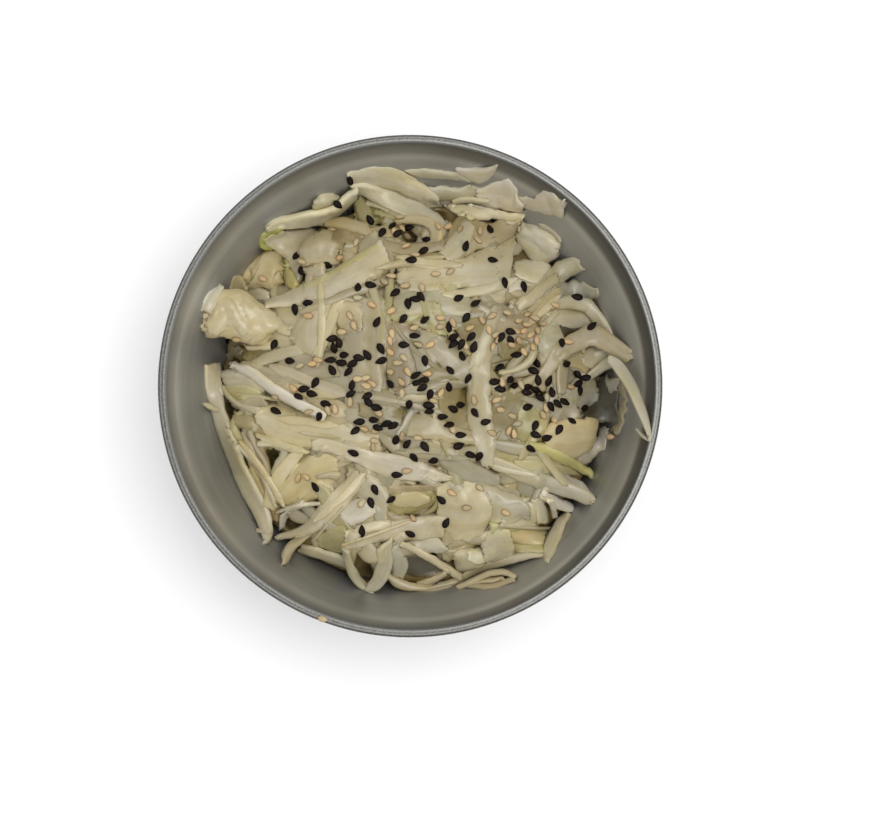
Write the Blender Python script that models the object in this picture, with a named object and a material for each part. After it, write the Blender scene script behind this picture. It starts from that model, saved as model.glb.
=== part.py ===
"""Round steel bowl filled with coleslaw.

Two solids: the bowl, turned from one thin sheet with a rolled lip, and the
heap of shredded cabbage that lies in it, one solid out to its uneven outline.
Metres, +Z up. The origin is the centre of the bowl's flat base, on the surface
that it stands on.
"""

import math

import bpy
import numpy as np

# The bowl: overall size, sheet and lip.
RIM_RADIUS = 0.067
BOWL_HEIGHT = 0.054
SHEET = 0.0012
LIP_RADIUS = 0.0012

# The bowl's inner outline: a steep band under the lip, a shoulder, a sloping
# wall and a flat floor, with rounded corners.
SHOULDER_DEPTH = 0.0095
SHOULDER_RADIUS = 0.0629
SHOULDER_REACH = 0.0035
WALL_SLOPE = math.radians(66)
FLOOR_REACH = 0.020

SEGMENTS = 72
FLOOR_STEPS = 8
SHOULDER_STEPS = 3
LIP_STEPS = 9

# The heap: its mean outline, its crown, and how it rounds over towards its edge.
EDGE_RADIUS = 0.0585
CROWN_TOP = 0.0472
CROWN_SHARPNESS = 2.4
EDGE_ROUNDNESS = 0.55
GAP = 0.0003

# The outline's lobes: count round the heap, size, and direction in degrees.
# The first is the side where the cabbage climbs the wall.
EDGE_LOBES = (
    (1, 0.0010, 62),
    (2, 0.0006, 40),
    (3, 0.0007, 15),
    (5, 0.0006, 58),
)

# Shred ends that stick out of the outline.
TIPS = 26
TIP_REACH = (0.0006, 0.0026)
TIP_WIDTH = (0.0016, 0.0034)

# The bundles of shreds on top: how many, and the ranges of their sizes.
BUNDLES = 60
BUNDLE_LENGTH = (0.020, 0.048)
BUNDLE_HALF_WIDTH = (0.0034, 0.0060)
BUNDLE_RISE = (0.0016, 0.0036)
BUNDLE_BEND = 0.25
LAY_REACH = 0.92

# How a bundle ends (a higher power ends more abruptly), where along it its bend
# is centred, how round its top is, and how the bundles flatten towards the edge.
BUNDLE_END_POWER = 4
BUNDLE_BEND_CENTRE = 0.5
BUNDLE_ROUNDNESS = 0.8
FLATTEN_POWER = 6

# The heap's mesh: each ring of its top has one more vertex in each of the
# sectors than the ring inside it, and one more ring rounds the edge.
SECTORS = 6
TOP_RINGS = 22
EDGE_RING = 0.984
UNDER_RINGS = 6
SEED = 11


def clear_scene():
    for thing in list(bpy.data.objects):
        bpy.data.objects.remove(thing)


def make_material(name, colour, roughness, metallic):
    material = bpy.data.materials.new(name)
    material.use_nodes = True
    shader = material.node_tree.nodes["Principled BSDF"]
    shader.inputs["Base Color"].default_value = (*colour, 1)
    shader.inputs["Roughness"].default_value = roughness
    shader.inputs["Metallic"].default_value = metallic
    return material


def add_object(name, mesh, material):
    mesh.materials.append(material)
    thing = bpy.data.objects.new(name, mesh)
    bpy.context.scene.collection.objects.link(thing)
    return thing


def unit(vector):
    return vector / np.linalg.norm(vector)


def rounded_corner(before, corner, after, reach, steps):
    """Points of a curve that leaves one straight and joins the next, both at reach from the corner."""
    start = corner + unit(before - corner) * reach
    end = corner + unit(after - corner) * reach
    points = []
    for t in np.linspace(0, 1, steps + 1):
        points.append((1 - t) ** 2 * start + 2 * t * (1 - t) * corner + t**2 * end)
    return points


def lip_centre():
    return np.array((RIM_RADIUS - LIP_RADIUS, BOWL_HEIGHT - LIP_RADIUS))


def shoulder():
    return np.array((SHOULDER_RADIUS, BOWL_HEIGHT - SHOULDER_DEPTH))


def band_outward():
    """Unit vector across the steep band, pointing out of the bowl.

    The band is tangent to the lip's roll, so its lean follows from both.
    """
    across = lip_centre() - shoulder()
    distance = np.linalg.norm(across)
    lean = math.atan2(across[1], across[0]) + math.asin(LIP_RADIUS / distance)
    return np.array((math.sin(lean), -math.cos(lean)))


def inner_outline():
    """Inner side of the bowl as (radius, height) points, from the middle of the floor to the lip."""
    middle = np.array((0, SHEET))
    turn = shoulder()
    rise = turn[1] - SHEET
    foot = np.array((turn[0] - rise / math.tan(WALL_SLOPE), SHEET))
    lip = lip_centre() - band_outward() * LIP_RADIUS
    floor_curve = rounded_corner(middle, foot, turn, FLOOR_REACH, FLOOR_STEPS)
    shoulder_curve = rounded_corner(foot, turn, lip, SHOULDER_REACH, SHOULDER_STEPS)
    return np.array([middle, *floor_curve, *shoulder_curve, lip])


def offset_outline(outline, distance):
    """The outline moved square to itself, outwards for a positive distance."""
    along = np.gradient(outline, axis=0)
    along /= np.linalg.norm(along, axis=1)[:, None]
    along[0] = (1, 0)
    outward = np.column_stack((along[:, 1], -along[:, 0]))
    return outline + outward * distance


def lip_outline():
    """The rolled lip, from the inner side over the top to where it meets the outer wall."""
    outward = band_outward()
    lean = math.atan2(outward[1], outward[0])
    start = lean + math.pi
    end = lean - math.acos((SHEET - LIP_RADIUS) / LIP_RADIUS)
    angles = np.linspace(start, end, LIP_STEPS + 1)
    circle = np.column_stack((np.cos(angles), np.sin(angles)))
    return lip_centre() + circle * LIP_RADIUS


def make_bowl():
    inner = inner_outline()
    outer = offset_outline(inner, SHEET)
    outline = np.vstack((inner[:-1], lip_outline(), outer[:-1][::-1]))
    points = [(radius, 0, height) for radius, height in outline]
    edges = [(i, i + 1) for i in range(len(points) - 1)]
    mesh = bpy.data.meshes.new("bowl")
    mesh.from_pydata(points, edges, [])
    steel = make_material("steel", (0.46, 0.45, 0.42), 0.38, 1.0)
    bowl = add_object("bowl", mesh, steel)
    screw = bowl.modifiers.new("turn", "SCREW")
    screw.angle = math.tau
    screw.steps = SEGMENTS
    screw.render_steps = SEGMENTS
    screw.use_merge_vertices = True
    screw.merge_threshold = 0.00001
    screw.use_smooth_shade = True
    return bowl


def make_tips(random):
    """Shred ends as (direction, reach, angular width)."""
    tips = []
    for _ in range(TIPS):
        direction = random.uniform(0, math.tau)
        width = random.uniform(*TIP_WIDTH) / EDGE_RADIUS
        tips.append((direction, random.uniform(*TIP_REACH), width))
    return tips


def edge_radius(angle, tips):
    """How far out the heap reaches in this direction."""
    radius = EDGE_RADIUS
    for count, size, direction in EDGE_LOBES:
        radius += size * math.cos(count * (angle - math.radians(direction)))
    longest = 0
    for direction, reach, width in tips:
        aside = math.remainder(angle - direction, math.tau) / width
        longest = max(longest, reach * math.exp(-(aside**2)))
    return radius + longest


def make_bundles(random):
    """Bundles of shreds as (middle x, y, direction, half length, half width, rise, bend)."""
    bundles = []
    for _ in range(BUNDLES):
        distance = EDGE_RADIUS * LAY_REACH * math.sqrt(random.random())
        around = random.uniform(0, math.tau)
        bundles.append(
            (
                distance * math.cos(around),
                distance * math.sin(around),
                random.uniform(0, math.pi),
                random.uniform(*BUNDLE_LENGTH) / 2,
                random.uniform(*BUNDLE_HALF_WIDTH),
                random.uniform(*BUNDLE_RISE),
                random.uniform(-BUNDLE_BEND, BUNDLE_BEND),
            )
        )
    return bundles


def bundle_rise(x, y, bundle):
    """Height that one bundle adds at a point: a round-topped ridge along a bent line."""
    middle_x, middle_y, direction, half_length, half_width, rise, bend = bundle
    dx = x - middle_x
    dy = y - middle_y
    along = (dx * math.cos(direction) + dy * math.sin(direction)) / half_length
    across = -dx * math.sin(direction) + dy * math.cos(direction)
    across = (across - bend * half_length * (along**2 - BUNDLE_BEND_CENTRE)) / half_width
    inside = max(0, 1 - along**BUNDLE_END_POWER - across**2)
    return rise * inside**BUNDLE_ROUNDNESS


def join_rings(upper, lower):
    """Faces between two rings of vertices, whatever their counts; a ring of one vertex is a pole.

    Each step moves on along the ring whose next edge has its middle earlier.
    """
    faces = []
    high = low = 0
    while high < len(upper) or low < len(lower):
        a, b = upper[high % len(upper)], lower[low % len(lower)]
        upper_done = high >= len(upper) or len(upper) == 1
        if not upper_done and (high + 0.5) / len(upper) <= (low + 0.5) / len(lower):
            high += 1
            faces.append((a, b, upper[high % len(upper)]))
        elif low < len(lower):
            low += 1
            faces.append((a, b, lower[low % len(lower)]))
        else:
            high += 1
            if len(upper) > 1:
                faces.append((a, b, upper[high % len(upper)]))
    return faces


def make_heap():
    random = np.random.default_rng(SEED)
    tips = make_tips(random)
    bundles = make_bundles(random)
    under = offset_outline(inner_outline(), -GAP)

    def under_height(radius):
        return float(np.interp(radius, under[:, 0], under[:, 1]))

    def top_height(x, y, fraction, edge):
        edge_height = under_height(edge)
        crown = CROWN_TOP - max(BUNDLE_RISE) - edge_height
        dome = (1 - fraction**CROWN_SHARPNESS) ** EDGE_ROUNDNESS
        rise = max(bundle_rise(x, y, bundle) for bundle in bundles)
        return edge_height + crown * dome + rise * (1 - fraction**FLATTEN_POWER)

    points = []

    def add_ring(fraction, count, on_top):
        """A ring of vertices at a fraction of the way out, on the heap's top or underside."""
        first = len(points)
        for step in range(count):
            angle = step * math.tau / count
            edge = edge_radius(angle, tips)
            radius = edge * fraction
            x, y = radius * math.cos(angle), radius * math.sin(angle)
            height = top_height(x, y, fraction, edge) if on_top else under_height(radius)
            points.append((x, y, height))
        return list(range(first, len(points)))

    edge_count = SECTORS * TOP_RINGS
    rings = [add_ring(0, 1, True)]
    for ring in range(1, TOP_RINGS):
        rings.append(add_ring(ring / TOP_RINGS, SECTORS * ring, True))
    rings.append(add_ring(EDGE_RING, edge_count, True))
    for ring in range(UNDER_RINGS, 0, -1):
        rings.append(add_ring(ring / UNDER_RINGS, edge_count, False))
    rings.append(add_ring(0, 1, False))

    faces = []
    for upper, lower in zip(rings[:-2], rings[1:-1]):
        faces += join_rings(upper, lower)
    faces += [face[::-1] for face in join_rings(rings[-1], rings[-2])]

    mesh = bpy.data.meshes.new("coleslaw")
    mesh.from_pydata(points, [], faces)
    mesh.shade_smooth()
    cabbage = make_material("cabbage", (0.60, 0.53, 0.36), 0.42, 0.0)
    return add_object("coleslaw", mesh, cabbage)


clear_scene()
make_bowl()
make_heap()
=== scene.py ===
import math

import bpy
import numpy as np
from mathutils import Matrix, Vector
from mathutils.bvhtree import BVHTree


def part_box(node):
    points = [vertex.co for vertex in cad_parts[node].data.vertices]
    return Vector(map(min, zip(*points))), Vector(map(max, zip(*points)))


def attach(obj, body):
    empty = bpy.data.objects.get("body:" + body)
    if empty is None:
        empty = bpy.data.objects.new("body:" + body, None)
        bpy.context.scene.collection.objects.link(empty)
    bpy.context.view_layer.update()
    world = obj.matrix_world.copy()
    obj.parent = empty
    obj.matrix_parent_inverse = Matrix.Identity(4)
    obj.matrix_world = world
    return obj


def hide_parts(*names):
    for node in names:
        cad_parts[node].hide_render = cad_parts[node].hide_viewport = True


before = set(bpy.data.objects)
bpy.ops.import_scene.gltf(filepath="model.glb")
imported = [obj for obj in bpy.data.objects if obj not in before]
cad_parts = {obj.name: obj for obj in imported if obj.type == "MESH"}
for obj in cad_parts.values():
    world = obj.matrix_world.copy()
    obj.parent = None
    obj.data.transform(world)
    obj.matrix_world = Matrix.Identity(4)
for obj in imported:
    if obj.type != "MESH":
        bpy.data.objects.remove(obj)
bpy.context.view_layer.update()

# ---------------------------------------------------------------- sizes, in metres
RIM_RADIUS, _, BOWL_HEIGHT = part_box("bowl")[1]
HEAP_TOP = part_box("coleslaw")[1][2]

# The bowl's outline, the same as in the CAD part but in finer steps and with a squarer lip.
SHEET = 0.0012
LIP_RADIUS = 0.0012
SHOULDER_DEPTH = 0.0095
SHOULDER_RADIUS = 0.0629
SHOULDER_REACH = 0.0035
WALL_SLOPE = math.radians(66)
FLOOR_REACH = 0.020
SEGMENTS = 288
FLOOR_STEPS = 20
SHOULDER_STEPS = 10
LIP_STEPS = 30
LIP_SQUARENESS = 2.6

# The photograph: its frame, and the bowl's rim in it, in pixels.
PHOTO_WIDTH = 876
PHOTO_HEIGHT = 816
RIM_CENTRE_PX = (410.1, 383.3)
RIM_RADIUS_PX = 253.2
CAMERA_DISTANCE = 0.50
CAMERA_ELEVATION = math.radians(85.5)
SENSOR = 36

MM = 0.001
RANDOM = np.random.default_rng(7)


def srgb(red, green, blue):
    """Linear colour from 0 to 255 screen values."""
    shares = np.array((red, green, blue)) / 255
    return np.where(shares <= 0.04045, shares / 12.92, ((shares + 0.055) / 1.055) ** 2.4)


# ---------------------------------------------------------------- camera
METRES_PER_PX = RIM_RADIUS / RIM_RADIUS_PX
FOCAL_PX = CAMERA_DISTANCE / METRES_PER_PX
RIM_MIDDLE = Vector((0, 0, BOWL_HEIGHT))


def make_camera():
    """Looks down on the bowl, set aside so that the rim's centre comes where the photo has it."""
    offset_x = (PHOTO_WIDTH / 2 - RIM_CENTRE_PX[0]) * METRES_PER_PX
    offset_y = (RIM_CENTRE_PX[1] - PHOTO_HEIGHT / 2) * METRES_PER_PX / math.sin(CAMERA_ELEVATION)
    lean = Vector((0, -math.cos(CAMERA_ELEVATION), math.sin(CAMERA_ELEVATION)))
    data = bpy.data.cameras.new("camera")
    data.sensor_width = SENSOR
    data.lens = FOCAL_PX * SENSOR / PHOTO_WIDTH
    camera = bpy.data.objects.new("camera", data)
    bpy.context.scene.collection.objects.link(camera)
    camera.location = RIM_MIDDLE + lean * CAMERA_DISTANCE + Vector((offset_x, offset_y, 0))
    camera.rotation_euler = (math.pi / 2 - CAMERA_ELEVATION, 0, 0)
    bpy.context.scene.camera = camera
    bpy.context.view_layer.update()
    return camera


camera = make_camera()
EYE = np.array(camera.location)
CAMERA_AXES = np.array(camera.matrix_world.to_3x3())


def pixel_direction(px, py):
    """Direction from the camera through a pixel of the photograph, pointing away from it."""
    px, py = np.asarray(px, float), np.asarray(py, float)
    local = np.stack(
        (
            (px - PHOTO_WIDTH / 2) / FOCAL_PX,
            -(py - PHOTO_HEIGHT / 2) / FOCAL_PX,
            -np.ones_like(px),
        ),
        axis=-1,
    )
    return local @ CAMERA_AXES.T


def on_level(px, py, z):
    """Where a pixel's ray crosses the height z."""
    ray = pixel_direction(px, py)
    reach = (z - EYE[2]) / ray[..., 2]
    return EYE[0] + ray[..., 0] * reach, EYE[1] + ray[..., 1] * reach


# ---------------------------------------------------------------- the bowl's outline
def unit(vector):
    return vector / np.linalg.norm(vector)


def rounded_corner(before, corner, after, reach, steps):
    """Points of a curve that leaves one straight and joins the next, both at reach from the corner."""
    start = corner + unit(before - corner) * reach
    end = corner + unit(after - corner) * reach
    t = np.linspace(0, 1, steps + 1)[:, None]
    return (1 - t) ** 2 * start + 2 * t * (1 - t) * corner + t**2 * end


def inner_outline():
    """The bowl's inner side as (radius, height), from the middle of the floor to the lip.

    Also returns the lip's centre and the direction across the band, out of the bowl.
    """
    lip_centre = np.array((RIM_RADIUS - LIP_RADIUS, BOWL_HEIGHT - LIP_RADIUS))
    shoulder = np.array((SHOULDER_RADIUS, BOWL_HEIGHT - SHOULDER_DEPTH))
    across = lip_centre - shoulder
    lean = math.atan2(across[1], across[0]) + math.asin(LIP_RADIUS / np.linalg.norm(across))
    outward = np.array((math.sin(lean), -math.cos(lean)))
    lip = lip_centre - outward * LIP_RADIUS
    middle = np.array((0, SHEET))
    foot = np.array((shoulder[0] - (shoulder[1] - SHEET) / math.tan(WALL_SLOPE), SHEET))
    outline = np.vstack(
        (
            middle,
            rounded_corner(middle, foot, shoulder, FLOOR_REACH, FLOOR_STEPS),
            rounded_corner(foot, shoulder, lip, SHOULDER_REACH, SHOULDER_STEPS),
            lip,
        )
    )
    return outline, lip_centre, outward


def offset_outline(outline, distance):
    """The outline moved square to itself, outwards for a positive distance."""
    along = np.gradient(outline, axis=0)
    along /= np.linalg.norm(along, axis=1)[:, None]
    along[0] = (1, 0)
    return outline + np.column_stack((along[:, 1], -along[:, 0])) * distance


INNER, LIP_CENTRE, BAND_OUTWARD = inner_outline()


def wall_height(radius):
    """Height of the bowl's inner side at a radius."""
    return np.interp(radius, INNER[:, 0], INNER[:, 1])


def lip_outline():
    """The rolled lip, from the inner side over the top to where it meets the outer wall."""
    lean = math.atan2(BAND_OUTWARD[1], BAND_OUTWARD[0])
    end = lean - math.acos((SHEET - LIP_RADIUS) / LIP_RADIUS)
    angles = np.linspace(lean + math.pi, end, LIP_STEPS + 1)
    cosine, sine = np.cos(angles), np.sin(angles)
    power = 2 / LIP_SQUARENESS
    circle = np.column_stack((np.sign(cosine) * abs(cosine) ** power, np.sign(sine) * abs(sine) ** power))
    return LIP_CENTRE + circle * LIP_RADIUS


# ---------------------------------------------------------------- meshes
def new_object(name, vertices, faces, material):
    mesh = bpy.data.meshes.new(name)
    mesh.from_pydata(vertices, [], faces)
    mesh.shade_smooth()
    mesh.materials.append(material)
    thing = bpy.data.objects.new(name, mesh)
    bpy.context.scene.collection.objects.link(thing)
    return thing


def turned(outline, segments):
    """Vertices and faces of a closed outline turned about Z; its first and last points are on the axis."""
    angles = np.arange(segments) * math.tau / segments
    rings = outline[1:-1]
    x = rings[:, :1] * np.cos(angles)
    y = rings[:, :1] * np.sin(angles)
    z = np.repeat(rings[:, 1:], segments, axis=1)
    vertices = np.vstack(
        ((0, 0, outline[0, 1]), np.stack((x, y, z), axis=-1).reshape(-1, 3), (0, 0, outline[-1, 1]))
    )
    last = len(vertices) - 1
    faces = []
    for step in range(segments):
        following = (step + 1) % segments
        faces.append((0, 1 + step, 1 + following))
        for ring in range(len(rings) - 1):
            a = 1 + ring * segments
            b = a + segments
            faces.append((a + step, b + step, b + following, a + following))
        a = 1 + (len(rings) - 1) * segments
        faces.append((a + step, last, a + following))
    return vertices, faces


# Between which values noise mostly lies, and a narrower pair that gives harder patches.
NOISE_INSIDE = (0.3, 0.7)
NOISE_MIDDLE = (0.35, 0.65)


class Nodes:
    """Short ways to add nodes to a material."""

    def __init__(self, name):
        self.material = bpy.data.materials.new(name)
        self.material.use_nodes = True
        self.tree = self.material.node_tree
        self.shader = self.tree.nodes["Principled BSDF"]

    def add(self, kind, **settings):
        node = self.tree.nodes.new(kind)
        for key, value in settings.items():
            setattr(node, key, value)
        return node

    def link(self, output, socket):
        self.tree.links.new(output, socket)

    def math(self, operation, first, second=0.0):
        node = self.add("ShaderNodeMath", operation=operation)
        for socket, value in zip(node.inputs, (first, second)):
            if isinstance(value, (int, float)):
                socket.default_value = value
            else:
                self.link(value, socket)
        return node.outputs[0]

    def noise(self, vector, scale, detail=2.0, roughness=0.5):
        node = self.add("ShaderNodeTexNoise")
        node.inputs["Scale"].default_value = scale
        node.inputs["Detail"].default_value = detail
        node.inputs["Roughness"].default_value = roughness
        self.link(vector, node.inputs["Vector"])
        return node.outputs["Fac"]

    def ranged(self, value, low, high, to_low, to_high):
        """A value moved from one range to another, and held inside it."""
        node = self.add("ShaderNodeMapRange")
        self.link(value, node.inputs["Value"])
        for key, number in (("From Min", low), ("From Max", high), ("To Min", to_low), ("To Max", to_high)):
            node.inputs[key].default_value = number
        return node.outputs["Result"]

    def spread(self, noise, to_low, to_high, inside=NOISE_INSIDE):
        """Noise, which hardly leaves the middle of its range, spread over another range."""
        return self.ranged(noise, *inside, to_low, to_high)

    def combined(self, *values):
        node = self.add("ShaderNodeCombineXYZ")
        for socket, value in zip(node.inputs, values):
            self.link(value, socket)
        return node.outputs[0]

    def stretched(self, vector, scale):
        node = self.add("ShaderNodeVectorMath", operation="MULTIPLY")
        self.link(vector, node.inputs[0])
        node.inputs[1].default_value = scale
        return node.outputs["Vector"]

    def shaded(self, colour, factor):
        """A colour made lighter or darker by a factor."""
        node = self.add("ShaderNodeVectorMath", operation="SCALE")
        self.link(colour, node.inputs[0])
        self.link(factor, node.inputs["Scale"])
        return node.outputs["Vector"]

    def bump(self, height, strength, distance, normal=None):
        node = self.add("ShaderNodeBump")
        node.inputs["Strength"].default_value = strength
        node.inputs["Distance"].default_value = distance
        self.link(height, node.inputs["Height"])
        if normal:
            self.link(normal, node.inputs["Normal"])
        return node.outputs["Normal"]

    def set(self, **values):
        for key, value in values.items():
            self.shader.inputs[key.replace("_", " ")].default_value = value


# Painted reflections and shade round the bowl, as how light the steel is by distance from the middle in
# millimetres: a painted light ring at the shoulder, a painted dark band under the lip, two painted highlight
# lines on the lip, and a thin painted highlight at its outer edge.
PAINTED_STEEL_RINGS = (
    (60.0, 1.0), (61.8, 1.06), (62.7, 1.38), (63.1, 1.20), (63.5, 0.80), (64.5, 0.52), (65.0, 0.38),
    (65.35, 0.66), (65.65, 0.34), (65.9, 0.33), (66.15, 0.64), (66.4, 0.28), (66.75, 0.14), (67.0, 2.0),
    (67.0, 0.10),
)
LIGHTEST_RING = 2.0

# Where the painted dark band and the lip begin, and where the band and the lip's inner side end, in the same
# way.
BAND_BEGINS = (62.8, 63.6)
BAND_ENDS = (65.0, 65.4)
LIP_BEGINS = (64.8, 65.1)
INNER_LIP_ENDS = (65.7, 65.9)

# Painted reflection and shade from side to side: how much lighter or darker the band and the lip's inner
# side are on the left and on the right.
BAND_SHADE = (0.6, -0.5)
LIP_SHADE = (-0.36, 0.36)

WALL_STEEL = (0.438, 0.44, 0.432)
LIP_STEEL = (0.448, 0.44, 0.412)
DARKEST_STEEL = 0.08

# The scale of the steel's noise: turning lines, along x, y and the outline, and marks that run no way.
FINE_LINES = (18, 18, 1900)
BROAD_LINES = (12, 12, 260)
STAINS = 55
SCRATCHES = 2600


def painted_ring_light(n, radius):
    """Painted reflections and shade: how light the steel is at a distance from the middle."""
    first, last = PAINTED_STEEL_RINGS[0][0], PAINTED_STEEL_RINGS[-1][0]
    ramp = n.add("ShaderNodeValToRGB")
    n.link(n.ranged(radius, first * MM, last * MM, 0.0, 1.0), ramp.inputs[0])
    stops = ramp.color_ramp.elements
    stops.remove(stops[1])
    for number, (place, level) in enumerate(PAINTED_STEEL_RINGS):
        stop = stops[0] if number == 0 else stops.new((place - first) / (last - first))
        share = level / LIGHTEST_RING
        stop.color = (share, share, share, 1)
    return n.math("MULTIPLY", ramp.outputs[0], LIGHTEST_RING)


def beyond(n, radius, span, before=0.0, after=1.0):
    """Goes from one value to another over a span of distances from the middle, in millimetres."""
    return n.ranged(radius, span[0] * MM, span[1] * MM, before, after)


def painted_side_light(n, tone, part, x, shade):
    """Painted light and shade: the tone of one part of the steel made lighter or darker on the left and on
    the right.
    """
    side = n.ranged(x, -RIM_RADIUS, RIM_RADIUS, *shade)
    return n.math("MULTIPLY", tone, n.math("ADD", 1.0, n.math("MULTIPLY", part, side)))


def steel_material():
    """Satin steel: fine turning lines round the bowl, faint stains, a sparkle of scratches, and painted
    rings of reflection and shade.
    """
    n = Nodes("steel")
    place = n.add("ShaderNodeTexCoord").outputs["Object"]
    parts = n.add("ShaderNodeSeparateXYZ")
    n.link(place, parts.inputs[0])
    x, y, z = parts.outputs
    radius = n.math("SQRT", n.math("ADD", n.math("MULTIPLY", x, x), n.math("MULTIPLY", y, y)))
    spun = n.combined(x, y, n.math("ADD", radius, z))
    lines = n.noise(n.stretched(spun, FINE_LINES), 1.0, 3.0, 0.6)
    broad = n.noise(n.stretched(spun, BROAD_LINES), 1.0)
    stains = n.noise(place, STAINS, 3.0, 0.55)
    grain = n.noise(place, SCRATCHES, 2.0, 0.6)

    tone = n.math("ADD", n.spread(broad, 0.93, 1.05), n.spread(stains, -0.03, 0.03))
    tone = n.math("ADD", tone, n.spread(lines, -0.03, 0.03))
    # Painted reflections and shade in rings round the bowl.
    tone = n.math("MULTIPLY", tone, painted_ring_light(n, radius))
    # Painted reflection and shade on the band and the lip's inner side, from left to right.
    on_band = n.math("MULTIPLY", beyond(n, radius, BAND_BEGINS), beyond(n, radius, BAND_ENDS, 1, 0))
    tone = painted_side_light(n, tone, on_band, x, BAND_SHADE)
    on_lip = beyond(n, radius, LIP_BEGINS)
    inner_lip = n.math("MULTIPLY", on_lip, beyond(n, radius, INNER_LIP_ENDS, 1, 0))
    tone = painted_side_light(n, tone, inner_lip, x, LIP_SHADE)
    worn = n.math("MULTIPLY", n.spread(grain, -0.10, 0.13, NOISE_MIDDLE), on_lip)
    tone = n.math("MAXIMUM", n.math("ADD", tone, worn), DARKEST_STEEL)

    base = n.add("ShaderNodeMix", data_type="RGBA")
    n.link(on_lip, base.inputs["Factor"])
    base.inputs["A"].default_value = (*WALL_STEEL, 1)
    base.inputs["B"].default_value = (*LIP_STEEL, 1)
    n.link(n.shaded(base.outputs["Result"], tone), n.shader.inputs["Base Color"])
    rough = n.math("ADD", n.spread(lines, 0.48, 0.60), n.spread(stains, -0.04, 0.06))
    n.link(rough, n.shader.inputs["Roughness"])
    fine = n.bump(grain, 0.25, 0.06 * MM)
    n.link(n.bump(lines, 0.35, 0.04 * MM, fine), n.shader.inputs["Normal"])
    n.set(Metallic=1.0)
    return n.material


# What a cabbage piece's tint is multiplied by where it is glassy and where it is milky.
GLASSY = (0.93, 0.89, 0.72)
MILKY = (1.07, 1.10, 1.24)

# The scale of the cabbage's noise: marks that run no way, and fibres, veins and patches along a piece.
MOTTLE = 190
SPECKLE = 900
FIBRES = (90, 1500, 1)
VEINS = (45, 650, 1)
PATCHES = (70, 240, 1)

# The same for the seeds' skin.
PITS = 2400
BLOTCHES = 700


def cabbage_material(name, roughness, clearness):
    """Moist cabbage: the piece's own tint, mottled, with fine fibres along it."""
    n = Nodes(name)
    tint = n.add("ShaderNodeAttribute", attribute_name="tint")
    place = n.add("ShaderNodeTexCoord").outputs["Object"]
    grain = n.add("ShaderNodeUVMap", uv_map="grain").outputs[0]
    mottle = n.noise(place, MOTTLE, 3.0, 0.55)
    speckle = n.noise(place, SPECKLE, 2.0, 0.6)
    fibres = n.noise(n.stretched(grain, FIBRES), 1.0, 2.0, 0.55)
    veins = n.noise(n.stretched(grain, VEINS), 1.0, 2.0, 0.55)
    patches = n.noise(n.stretched(grain, PATCHES), 1.0)
    tone = n.math("ADD", n.spread(mottle, 0.95, 1.05), n.spread(speckle, -0.02, 0.02))
    tone = n.math("ADD", tone, n.spread(fibres, -0.02, 0.02))

    milk = n.math("ADD", n.spread(patches, 0.0, 0.6, NOISE_MIDDLE), n.spread(veins, 0.0, 0.4, NOISE_MIDDLE))
    hue = n.add("ShaderNodeMix", data_type="RGBA")
    n.link(milk, hue.inputs["Factor"])
    hue.inputs["A"].default_value = (*GLASSY, 1)
    hue.inputs["B"].default_value = (*MILKY, 1)
    coloured = n.add("ShaderNodeVectorMath", operation="MULTIPLY")
    n.link(tint.outputs["Color"], coloured.inputs[0])
    n.link(hue.outputs["Result"], coloured.inputs[1])
    n.link(n.shaded(coloured.outputs["Vector"], tone), n.shader.inputs["Base Color"])

    height = n.math("ADD", n.math("MULTIPLY", fibres, 0.5), veins)
    relief = n.bump(speckle, 0.18, 0.12 * MM)
    n.link(n.bump(height, 0.25, 0.15 * MM, relief), n.shader.inputs["Normal"])
    n.link(n.spread(mottle, roughness - 0.06, roughness + 0.08), n.shader.inputs["Roughness"])
    n.set(Subsurface_Weight=0.4, Subsurface_Radius=(1.0, 0.95, 0.85), Subsurface_Scale=0.7 * MM)
    n.set(Coat_Weight=0.5, Coat_Roughness=0.18)
    n.set(IOR=1.38, Transmission_Weight=clearness)
    return n.material


def seed_material(name, roughness, specular):
    """A seed's skin: its own tint with fine pits."""
    n = Nodes(name)
    tint = n.add("ShaderNodeAttribute", attribute_name="tint")
    place = n.add("ShaderNodeTexCoord").outputs["Object"]
    pits = n.noise(place, PITS, 2.0, 0.6)
    blotch = n.noise(place, BLOTCHES)
    tone = n.math("ADD", n.spread(pits, 0.9, 1.08), n.spread(blotch, -0.08, 0.08))
    n.link(n.shaded(tint.outputs["Color"], tone), n.shader.inputs["Base Color"])
    n.link(n.bump(pits, 0.4, 0.06 * MM), n.shader.inputs["Normal"])
    n.link(n.spread(blotch, roughness - 0.05, roughness + 0.08), n.shader.inputs["Roughness"])
    n.set(Specular_IOR_Level=specular)
    return n.material


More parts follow.
